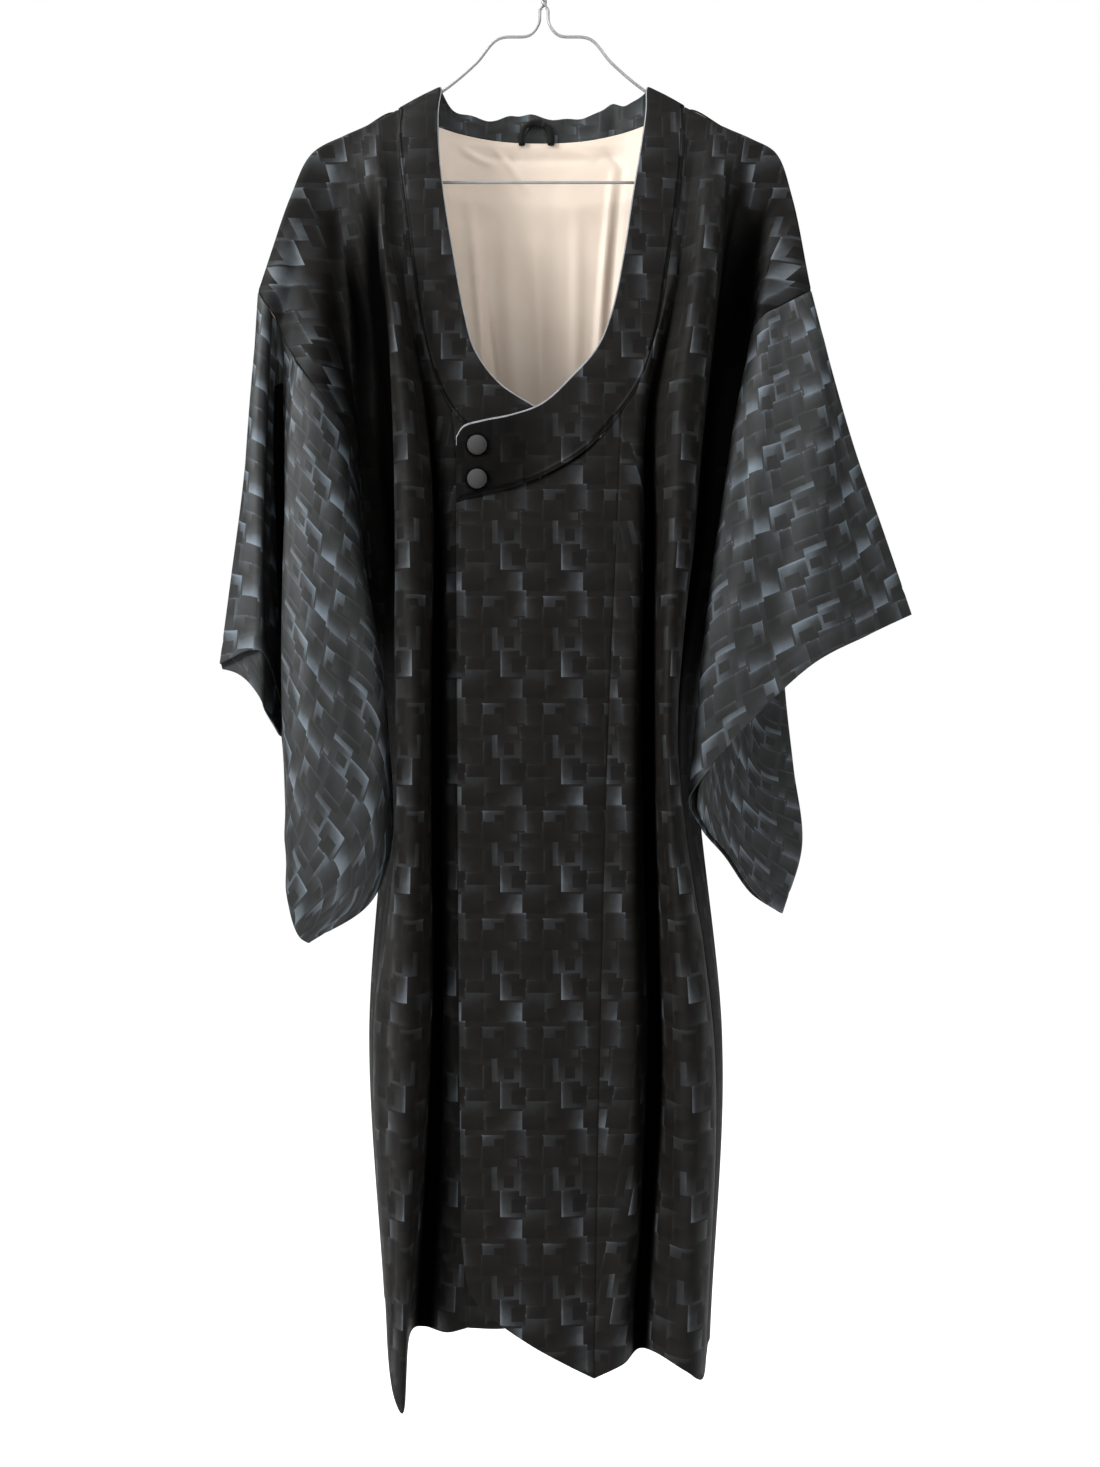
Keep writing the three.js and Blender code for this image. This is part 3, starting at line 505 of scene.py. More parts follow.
def weld(piece: Object) -> None:
    """Merges a mesh's doubled points, closes its open ends and turns its faces outwards."""
    mesh = bmesh.new()
    mesh.from_mesh(piece.data)
    bmesh.ops.remove_doubles(mesh, verts=mesh.verts, dist=1e-6)
    bmesh.ops.holes_fill(mesh, edges=mesh.edges)
    bmesh.ops.recalc_face_normals(mesh, faces=mesh.faces)
    mesh.to_mesh(piece.data)
    mesh.free()


def ring_quads(rings: int, sides: int) -> np.ndarray:
    """Quads between closed rings of points that follow one another.

    Args:
        rings: how many rings.
        sides: points on each ring.

    Returns:
        The corners of each quad.
    """
    r, s = (g.ravel() for g in np.meshgrid(np.arange(rings - 1), np.arange(sides), indexing="ij"))
    here, after = r * sides + s, r * sides + (s + 1) % sides
    return np.stack([here, after, after + sides, here + sides], axis=1)


def tube(
    centres: np.ndarray, radii: np.ndarray, sides: int, flat: float = 1.0
) -> tuple[np.ndarray, np.ndarray]:
    """A tube along a path that lies close to one upright plane, open at both ends.

    Each ring is centre + radius * (cos a * across + flat * sin a * sideways).

    Args:
        centres: N x 3 along the path.
        radii: N radii.
        sides: corners of each ring.
        flat: how far the ring is flattened sideways.

    Returns:
        The points and the quads, facing out.
    """
    tangent = unit(np.gradient(centres, axis=0))
    forwards = np.array([0.0, 1.0, 0.0])
    sideways = unit(np.cross(tangent, forwards))
    across = np.cross(sideways, tangent)
    angle = 2 * np.pi * np.arange(sides) / sides
    ring = (np.cos(angle)[None, :, None] * across[:, None] +
            np.sin(angle)[None, :, None] * sideways[:, None] * flat)
    points = (centres[:, None] + ring * radii[:, None, None]).reshape(-1, 3)
    quads = ring_quads(len(centres), sides)
    a, b, c = (points[quads[:, k]] for k in range(3))
    out = (np.cross(b - a, c - a) * (a - centres[quads[:, 0] // sides])).sum()
    return points, quads if out > 0 else quads[:, ::-1]


# ---------------------------------------------------------------- finishes


def link(tree: NodeTree, source: NodeSocket, target: NodeSocket) -> None:
    """Joins two sockets."""
    tree.links.new(source, target)


def feed(tree: NodeTree, socket: NodeSocket, value: object) -> None:
    """Links an input to another node's output, or sets its value."""
    if isinstance(value, NodeSocket):
        link(tree, value, socket)
    else:
        socket.default_value = value


def scalar(tree: NodeTree, operation: str, *values: object) -> NodeSocket:
    """Output of a Math node."""
    node = tree.nodes.new("ShaderNodeMath")
    node.operation = operation
    for socket, value in zip(node.inputs, values):
        feed(tree, socket, value)
    return node.outputs[0]


def vector(tree: NodeTree, operation: str, *values: object) -> NodeSocket:
    """Output of a Vector Math node."""
    node = tree.nodes.new("ShaderNodeVectorMath")
    node.operation = operation
    for socket, value in zip(node.inputs, values):
        feed(tree, socket, value)
    return node.outputs["Value" if operation == "DOT_PRODUCT" else "Vector"]


def mixed(tree: NodeTree, share: object, a: object, b: object) -> NodeSocket:
    """Output of a colour mix."""
    node = tree.nodes.new("ShaderNodeMix")
    node.data_type = "RGBA"
    for place, value in ((0, share), (6, a), (7, b)):  # a colour mix has its colours at 6 and 7
        feed(tree, node.inputs[place], value)
    return node.outputs[2]


def noise(tree: NodeTree, place: NodeSocket, scale: float, detail: float = 3.0) -> NodeSocket:
    """Value of a Noise Texture."""
    node = tree.nodes.new("ShaderNodeTexNoise")
    link(tree, place, node.inputs["Vector"])
    node.inputs["Scale"].default_value = scale
    node.inputs["Detail"].default_value = detail
    return node.outputs[0]


def group_inputs(
    name: str, inputs: tuple[tuple[str, str], ...], outputs: tuple[tuple[str, str], ...]
) -> tuple[NodeTree, Node, Node]:
    """A new shader node group with named sockets.

    Args:
        name: the group's name.
        inputs: name and kind of each input.
        outputs: name and kind of each output.

    Returns:
        The group, its input node and its output node.
    """
    group = bpy.data.node_groups.new(name, "ShaderNodeTree")
    for way, sockets in (("INPUT", inputs), ("OUTPUT", outputs)):
        for label, kind in sockets:
            group.interface.new_socket(name=label, in_out=way, socket_type=f"NodeSocket{kind}")
    return group, group.nodes.new("NodeGroupInput"), group.nodes.new("NodeGroupOutput")


def placed(tree: NodeTree, group: NodeTree, **values: object) -> Node:
    """A node that uses a group, with its inputs linked or set by name."""
    node = tree.nodes.new("ShaderNodeGroup")
    node.node_tree = group
    for name, value in values.items():
        feed(tree, node.inputs[name], value)
    return node


@dataclass(frozen=True)
class Block:
    """One woven rectangle of the repeat, in millimetres from the repeat's corner.

    The tone runs from 0, dark ground, to 1, full float, and leans across and down.
    The rims are thin lighter edges at its left and its top.
    """

    left: float
    top: float
    width: float
    height: float
    tone: float
    lean: tuple[float, float] = (0.0, 0.0)
    rims: tuple[float, float] = (0.0, 0.0)


@dataclass(frozen=True)
class Repeat:
    """The repeat of overlapping rectangles, painted one over another and tiled.

    Every rectangle is lifted a little over its own tone. The cloth place is moved some whole
    repeats along, so that it is above 0 wherever it is wrapped.
    """

    across: float = 52.0
    down: float = 92.0
    ground: float = 0.26
    lifted: float = 0.05
    rim_strength: float = 0.62
    rim_width: float = 3.4
    moved_by: int = 40
    blocks: tuple[Block, ...] = (
        Block(-1.0, 43.0, 19.5, 19.0, 0.34, (-0.25, -0.10), (0.10, 0.18)),
        Block(-5.0, 14.5, 20.5, 16.0, 0.26, (-0.42, 0.05), (0.30, 0.22)),
        Block(33.5, 10.5, 19.2, 28.2, 0.24, (-0.10, -0.42), (0.05, 0.34)),
        Block(15.0, -2.6, 21.5, 23.0, 0.30, (-0.38, 0.30), (0.42, 0.30)),
        Block(37.2, 3.0, 15.6, 11.2, 0.16, (-0.20, -0.10), (0.28, 0.22)),
        Block(15.2, 22.3, 18.4, 17.0, 0.40, (0.52, 0.12), (0.0, 0.0)),
        Block(2.4, 27.7, 16.4, 11.4, 0.14, (0.22, 0.18), (0.42, 0.0)),
        Block(19.0, 38.2, 18.0, 22.0, 0.26, (0.46, 0.04), (0.36, 0.36)),
        Block(36.4, 43.6, 15.4, 18.2, 0.20, (-0.30, 0.10), (0.32, 0.24)),
        Block(10.0, 46.5, 8.4, 15.4, 0.10, (-0.05, 0.10), (0.0, 0.0)),
        Block(-1.2, 52.5, 16.6, 18.0, 0.14, (0.10, -0.14), (0.44, 0.0)),
        Block(14.2, 62.8, 15.2, 10.6, 0.24, (0.34, -0.04), (0.05, 0.0)),
        Block(31.2, 61.6, 18.2, 12.0, 0.16, (-0.12, 0.22), (0.30, 0.44)),
        Block(31.4, 75.0, 20.6, 19.2, 0.20, (-0.18, 0.16), (0.38, 0.10)),
        Block(12.0, 69.4, 19.6, 20.6, 0.30, (0.06, 0.30), (0.14, 0.10)),
        Block(18.0, 77.0, 8.6, 10.4, 0.13, (0.0, 0.0), (0.0, 0.0)),
        Block(7.4, 70.0, 4.8, 20.0, 0.44, (0.16, 0.0), (0.0, 0.0)),
        Block(-0.2, 76.4, 7.8, 19.6, 0.12, (-0.16, 0.0), (0.30, 0.10)),
        Block(24.6, 5.0, 10.6, 11.8, 0.10, (-0.05, 0.12), (0.0, 0.0)),
    )

    def block_group(self) -> NodeTree:
        """Group that paints one rectangle over what lies under it.

        The cloth place, less the rectangle's corner, is wrapped to the repeat. Inside the
        rectangle the tone is its own plus its leans, and plus its rims close to two edges.

        Returns:
            The node group.
        """
        inputs = (("Place", "Vector"), ("Corner", "Vector"), ("Size", "Vector"), ("Tone", "Float"),
                  ("Lean", "Vector"), ("Rims", "Vector"), ("Under", "Float"))
        tree, given, out = group_inputs("woven_block", inputs, (("Tone", "Float"),))
        get = given.outputs
        shifted = vector(tree, "SUBTRACT", get["Place"], get["Corner"])
        wrapped = vector(tree, "MODULO", shifted, (self.across, self.down, 1.0))
        share = vector(tree, "DIVIDE", wrapped, get["Size"])
        beyond = vector(tree, "DOT_PRODUCT", vector(tree, "FLOOR", share), (1.0, 1.0, 0.0))
        inside = scalar(tree, "LESS_THAN", beyond, 0.5)
        centred = vector(tree, "SUBTRACT", share, (0.5, 0.5, 0.5))
        tone = scalar(tree, "ADD", vector(tree, "DOT_PRODUCT", centred, get["Lean"]), get["Tone"])
        near = vector(tree, "DIVIDE", wrapped, (self.rim_width, self.rim_width, 1.0))
        fall = vector(tree, "MINIMUM", near, (1.0, 1.0, 1.0))
        edges = vector(tree, "SUBTRACT", (1.0, 1.0, 1.0), fall)
        rims = vector(tree, "MULTIPLY", vector(tree, "MULTIPLY", edges, edges), get["Rims"])
        tone = scalar(tree, "ADD", vector(tree, "DOT_PRODUCT", rims, (1.0, 1.0, 0.0)), tone)
        over = scalar(tree, "SUBTRACT", tone, get["Under"])
        link(tree, scalar(tree, "MULTIPLY_ADD", inside, over, get["Under"]), out.inputs[0])
        return tree

    def group(self) -> NodeTree:
        """Group that turns a cloth place in metres into the tone of the weave.

        Returns:
            The node group, with a Place input and a Tone output.
        """
        tree, given, out = group_inputs("brocade_repeat", (("Place", "Vector"),), (("Tone", "Float"),))
        far = (self.across * self.moved_by, self.down * self.moved_by, 0.0)
        millimetres = vector(tree, "MULTIPLY", given.outputs[0], (1 / MM, 1 / MM, 0.0))
        place = vector(tree, "ADD", millimetres, far)
        block = self.block_group()
        under: object = self.ground
        for one in self.blocks:
            rims = (*(rim * self.rim_strength for rim in one.rims), 0.0)
            node = placed(tree, block, Place=place, Corner=(one.left, one.top, 0.0),
                          Size=(one.width, one.height, 1.0), Tone=one.tone + self.lifted,
                          Lean=(*one.lean, 0.0), Rims=rims, Under=under)
            under = node.outputs[0]
        link(tree, under, out.inputs[0])
        return tree


@dataclass(frozen=True)
class Threads:
    """The height of fine threads and faint puckers.

    It is a product of two sine waves a thread apart, plus a broad noise.
    """

    height: float = 0.04
    pucker_scale: float = 38.0
    pucker_detail: float = 4.0

    def group(self) -> NodeTree:
        """Group that turns a cloth place in metres into a height.

        Returns:
            The node group, with Place, Pitch and Pucker inputs and a Height output.
        """
        inputs = (("Place", "Vector"), ("Pitch", "Float"), ("Pucker", "Float"))
        tree, given, out = group_inputs("thread_relief", inputs, (("Height", "Float"),))
        get = given.outputs
        split = tree.nodes.new("ShaderNodeSeparateXYZ")
        link(tree, get["Place"], split.inputs[0])
        waves = [scalar(tree, "SINE", scalar(tree, "MULTIPLY", split.outputs[axis], get["Pitch"]))
                 for axis in (0, 1)]
        threads = scalar(tree, "MULTIPLY", *waves)
        soft = noise(tree, get["Place"], self.pucker_scale, self.pucker_detail)
        puckers = scalar(tree, "MULTIPLY", soft, get["Pucker"])
        link(tree, scalar(tree, "MULTIPLY_ADD", threads, self.height, puckers), out.inputs[0])
        return tree


def surface(name: str) -> tuple[Material, NodeTree, Node]:
    """A new material, its node tree and its Principled shader."""
    material = bpy.data.materials.new(name)
    material.use_nodes = True
    return material, material.node_tree, material.node_tree.nodes["Principled BSDF"]


def cloth_place(tree: NodeTree) -> NodeSocket:
    """The piece's own cloth coordinates in metres."""
    node = tree.nodes.new("ShaderNodeUVMap")
    node.uv_map = "cloth"
    return node.outputs[0]


def point_value(tree: NodeTree, title: str) -> NodeSocket:
    """The value that mark_points gave each point, or 0 on a piece without one."""
    node = tree.nodes.new("ShaderNodeAttribute")
    node.attribute_name = title
    return node.outputs["Fac"]


@dataclass(frozen=True)
class Relief:
    """Threads and puckers as a bump: threads per length, pucker, strength and depth in metres."""

    pitch: float
    pucker: float
    strength: float
    distance: float

    def normal(self, tree: NodeTree, thread: NodeTree, place: NodeSocket) -> NodeSocket:
        """Normal of a Bump node over the threads.

        Args:
            tree: the material's nodes.
            thread: the group made by Threads.
            place: the cloth place.

        Returns:
            The normal.
        """
        fine = placed(tree, thread, Place=place, Pitch=self.pitch, Pucker=self.pucker)
        node = tree.nodes.new("ShaderNodeBump")
        node.inputs["Strength"].default_value = self.strength
        node.inputs["Distance"].default_value = self.distance
        link(tree, fine.outputs[0], node.inputs["Height"])
        return node.outputs[0]


@dataclass(frozen=True)
class Brocade:
    """Charcoal satin with blue-grey woven rectangles.

    The tone of the repeat, worn a little by noise, mixes a brown-black ground with a slate
    float, and the floats are smoother than the ground. A lighter copy of the finish paints sheen
    on the sleeves, where the grain is turned, and on the back band: its floats show more and are
    lighter and bluer. A share of that painted sheen comes in on the panels' shoulders. Deep in a
    fold and round the buttons the colour is painted darker and the weave shows less, as painted
    shade, and the cloth is duller.
    """

    name: str
    shown_at_least: float = 0.34
    gloss: float = 0.08
    float_colour: Colour = (0.098, 0.112, 0.124, 1)
    float_from: float = 0.85
    ground: tuple[tuple[float, Colour], ...] = (
        (0.05, (0.0026, 0.0022, 0.0019, 1)),
        (0.26, (0.0062, 0.0053, 0.0046, 1)),
        (0.46, (0.0172, 0.0180, 0.0190, 1)),
    )
    # Painted shade: the near-black colour mixed in deep in a fold and round the buttons.
    painted_fold_shade: Colour = (0.0005, 0.0004, 0.0004, 1)
    tint: Colour = (0.90, 0.97, 1.0, 1)
    patch_scale: float = 26.0
    patchy: float = 0.8
    wear_scale: float = 160.0
    worn_and_lit: float = 0.12
    # How much more the weave shows under the painted sheen on the panels' shoulders.
    painted_sheen_gain: float = 0.24
    # How much the painted shade fades the weave and darkens the colour.
    faded_in_fold: float = 0.9
    darkened_in_fold: float = 0.94
    roughness: float = 0.66
    rougher_in_fold: float = 0.32
    smoother_float: float = 0.22
    relief: Relief = Relief(14000.0, 0.55, 0.35, 0.0012)

    def shown(self, tree: NodeTree, repeat: NodeTree, deep: NodeSocket) -> NodeSocket:
        """How strongly the weave shows: (tone + wear) * (patches + painted sheen) * (1 - painted shade).

        Args:
            tree: the material's nodes.
            repeat: the group made by Repeat.
            deep: the painted shade at each place, from its folds and from the buttons.

        Returns:
            The strength, from about 0 to 1.
        """
        place = cloth_place(tree)
        tone = placed(tree, repeat, Place=place).outputs[0]
        patches = noise(tree, place, self.patch_scale)
        uneven = scalar(tree, "MULTIPLY_ADD", patches, self.patchy, self.shown_at_least)
        uneven = scalar(tree, "MULTIPLY_ADD", point_value(tree, "painted_sheen"), self.painted_sheen_gain, uneven)
        worn_and_lit = scalar(tree, "MULTIPLY_ADD", noise(tree, place, self.wear_scale), self.worn_and_lit, tone)
        raised = scalar(tree, "MULTIPLY_ADD", deep, -self.faded_in_fold, 1.0)
        return scalar(tree, "MULTIPLY", scalar(tree, "MULTIPLY", worn_and_lit, uneven), raised)

    def woven_colour(self, tree: NodeTree, shown: NodeSocket) -> NodeSocket:
        """The colour from the ground to a full float, by how strongly the weave shows.

        Args:
            tree: the material's nodes.
            shown: the strength.

        Returns:
            The colour.
        """
        node = tree.nodes.new("ShaderNodeValToRGB")
        link(tree, shown, node.inputs[0])
        stops = node.color_ramp.elements
        stops[0].position, stops[0].color = self.ground[0]
        stops[1].position, stops[1].color = self.float_from, self.float_colour
        for position, colour in self.ground[1:]:
            stops.new(position).color = colour
        return node.outputs[0]

    def build(self, repeat: NodeTree, thread: NodeTree) -> Material:
        """Makes the material.

        Args:
            repeat: the group made by Repeat.
            thread: the group made by Threads.

        Returns:
            The material.
        """
        material, tree, shader = surface(self.name)
        deep = point_value(tree, "painted_shade")
        shown = self.shown(tree, repeat, deep)
        # Painted shade: the colour goes towards near-black and the gloss drops where the points carry it.
        shade = scalar(tree, "MULTIPLY", deep, self.darkened_in_fold)
        colour = mixed(tree, shade, self.woven_colour(tree, shown), self.painted_fold_shade)
        dull = scalar(tree, "MULTIPLY_ADD", deep, self.rougher_in_fold, self.roughness)
        rough = scalar(tree, "MULTIPLY_ADD", shown, -self.smoother_float, dull)
        gloss = scalar(tree, "MULTIPLY_ADD", shade, -self.gloss, self.gloss)
        link(tree, colour, shader.inputs["Base Color"])
        link(tree, rough, shader.inputs["Roughness"])
        link(tree, gloss, shader.inputs["Specular IOR Level"])
        shader.inputs["Specular Tint"].default_value = self.tint
        link(tree, self.relief.normal(tree, thread, cloth_place(tree)), shader.inputs["Normal"])
        return material


@dataclass(frozen=True)
class LiningSatin:
    """Cream satin with a soft lustre, faint threads and small rumples."""

    name: str = "lining_satin"
    shaded: Colour = (0.475, 0.385, 0.309, 1)
    light: Colour = (0.625, 0.535, 0.450, 1)
    cloud_scale: float = 14.0
    roughness: tuple[float, float] = (0.30, 0.46)
    sheen: float = 0.2
    relief: Relief = Relief(16000.0, 1.1, 0.30, 0.0016)

    def build(self, thread: NodeTree) -> Material:
        """Makes the material.

        Args:
            thread: the group made by Threads.

        Returns:
            The material.
        """
        material, tree, shader = surface(self.name)
        place = cloth_place(tree)
        cloud = noise(tree, place, self.cloud_scale)
        link(tree, mixed(tree, cloud, self.shaded, self.light), shader.inputs["Base Color"])
        low, high = self.roughness
        link(tree, scalar(tree, "MULTIPLY_ADD", cloud, high - low, low), shader.inputs["Roughness"])
        shader.inputs["Sheen Weight"].default_value = self.sheen
        link(tree, self.relief.normal(tree, thread, place), shader.inputs["Normal"])
        return material


@dataclass(frozen=True)
class FoldedEdge:
    """The satin's folded edge as a painted highlight: a thin grey line where the edge catches the light,
    broken into patches by noise.
    """

    name: str = "folded_edge_highlight"
    dark: Colour = (0.05, 0.052, 0.054, 1)
    # The painted highlight's light grey.
    worn_and_lit: Colour = (0.24, 0.25, 0.26, 1)
    patch_scale: float = 120.0
    roughness: float = 0.45

    def build(self) -> Material:
        """Makes the material."""
        material, tree, shader = surface(self.name)
        patches = noise(tree, cloth_place(tree), self.patch_scale)
        link(tree, mixed(tree, patches, self.dark, self.worn_and_lit), shader.inputs["Base Color"])
        shader.inputs["Roughness"].default_value = self.roughness
        return material


@dataclass(frozen=True)
class GalvanisedWire:
    """Galvanised wire: bright, with duller patches."""

    name: str = "galvanised_wire"
    dull: Colour = (0.20, 0.20, 0.21, 1)
    bright: Colour = (0.32, 0.32, 0.33, 1)
    patch_scale: float = 90.0
    metal: float = 0.5
    roughness: tuple[float, float] = (0.34, 0.50)

    def build(self) -> Material:
        """Makes the material."""
        material, tree, shader = surface(self.name)
        place = tree.nodes.new("ShaderNodeTexCoord").outputs["Object"]
        patches = noise(tree, place, self.patch_scale)
        link(tree, mixed(tree, patches, self.dull, self.bright), shader.inputs["Base Color"])
        low, high = self.roughness
        link(tree, scalar(tree, "MULTIPLY_ADD", patches, high - low, low), shader.inputs["Roughness"])
        shader.inputs["Metallic"].default_value = self.metal
        return material


class Finishes:
    """Every finish of the coat, each built once."""

    def __init__(self) -> None:
        """Makes the shared groups and the materials; the buttons keep the frame's own finish."""
        repeat, thread = Repeat().group(), Threads().group()
        # A lighter copy of the brocade, which paints sheen on the sleeves and the back band.
        painted_sheen = Brocade("brocade_painted_sheen", 0.70, 0.36, (0.099, 0.122, 0.144, 1))
        self.brocade = Brocade("brocade_upright").build(repeat, thread)
        self.brocade_painted_sheen = painted_sheen.build(repeat, thread)
        self.button = bpy.data.materials[Slot.BUTTON.value]
        self.lining = LiningSatin().build(thread)
        self.wire = GalvanisedWire().build()
        self.edge = FoldedEdge().build()


# ---------------------------------------------------------------- shared sizes

NECK = np.array([92.0, 0.0, -137.0])
HANGER_TIP = np.array([209.0, 0.0, -198.0])
WIRE = 2.6
RIDGE_RADIUS = 2.6  # of the cloth's middle, bent over the wire
BAND_LIFT = 0.5  # the thicker band lies this much further out
BAR_Z = -221.0
LEVELS = (-312.0, -433.0, -535.0, -721.0, -993.0)  # chest, yoke, underarm, waist, knee
BELOW_UNDERARM = 40.0
YOKE_ROW, UNDERARM_ROW, HEM_ROW = 7, 10, 22
ROW_STARTS = np.array([0, 4, YOKE_ROW, UNDERARM_ROW, 14, 18, HEM_ROW])  # of the levels, from ridge to hem
SIDE_STARTS = np.array([UNDERARM_ROW, 11, 14, 18, HEM_ROW])  # of the side seam's levels
BEND = np.radians([0.0, 22.5, 45.0, 67.5])  # turns over the shoulder before the cloth hangs
QUARTER = np.append(BEND, np.pi / 2)  # the whole turn over the shoulder
ROLL = [0, 2, 4]  # the angles of that turn on which a band's edge lies
CLOTH = 1.5
BAND_CLOTH = 2.6
BUTTON_RADIUS = 8.5
BUTTON_PLACES = ((-57.0, -466.0), (-57.0, -495.0))


@dataclass(frozen=True)
class FoldLine:
    """One line of a panel from shoulder to hem: x and y at the levels, and the hem's height.

    It starts along the shoulder from the neck, or at a place on the neck edge. A side seam
    starts at the sleeve and has no first two levels.
    """

    name: str
    x: tuple[float, ...]
    y: tuple[float, ...]
    hem: float
    along: float | None = None
    top: tuple[float, float, float] | None = None


@dataclass(frozen=True)
class SleeveLine:
    """One fold line of a sleeve, from armhole to cuff, with half the space between its layers."""

    name: str
    gap: float
    at: tuple[tuple[float, float, float], ...]


@dataclass(frozen=True)
class Shoulder:
    """The top line of one shoulder, from the neck over the hanger's tip to the armhole."""

    side: int
    armhole_top: tuple[float, float, float]
    end_radius: float

    def line(self) -> np.ndarray:
        """Control points of the top line."""
        x, _, z = self.armhole_top
        spread, drop = x * self.side - HANGER_TIP[0], z - HANGER_TIP[2]
        places = [NECK, (NECK + HANGER_TIP) / 2, HANGER_TIP]
        places += [HANGER_TIP + (spread * share + 3, 0, drop * share) for share in (0.2, 0.55)]
        places += [np.array([x * self.side, 0, z])]
        return np.array(places) * (self.side, 1, 1)

    def radius_at(self, along: float) -> float:
        """Bending radius: that of the wire as far as the hanger's tip, then towards the sleeve's."""
        tip, length = float(np.linalg.norm(HANGER_TIP - NECK)), curve_length(self.line())
        return float(np.interp(along, (tip, length), (RIDGE_RADIUS, self.end_radius)))

    def bend(
        self, along: float, layer: Layer, lift: float = 0.0, radius: float | None = None
    ) -> np.ndarray:
        """The turn over the top line: a quarter circle down from it, ending level with the cloth.

        Args:
            along: where, in millimetres from the neck.
            layer: towards which face.
            lift: how far above the line it starts.
            radius: the bend's radius, or none for the shoulder's own.

        Returns:
            The points at each angle of QUARTER.
        """
        line = self.line()
        share = min(along / curve_length(line), 1.0)
        top = by_length(line, np.array([share]))[0]
        ends = by_length(line, np.clip([share - 1e-3, share + 1e-3], 0, 1))
        tangent = unit(ends[1] - ends[0])
        down = np.array([tangent[2], 0.0, -tangent[0]])
        if down[2] > 0 or (abs(down[2]) < 0.2 and down[0] * top[0] > 0):
            down = -down
        size = self.radius_at(along) if radius is None else radius
        place = top + down * ((1 - np.cos(QUARTER[:, None])) * size - lift)
        place[:, 1] = layer.value * np.sin(QUARTER) * size
        return place


def hung(
    piece: Object, node: str
) -> Object:
    """Args:
        piece: the object.
        node: the solid that it replaces.

    Returns:
        The same object.
    """
    stands_for(piece, node)
    return piece


# ---------------------------------------------------------------- sleeves


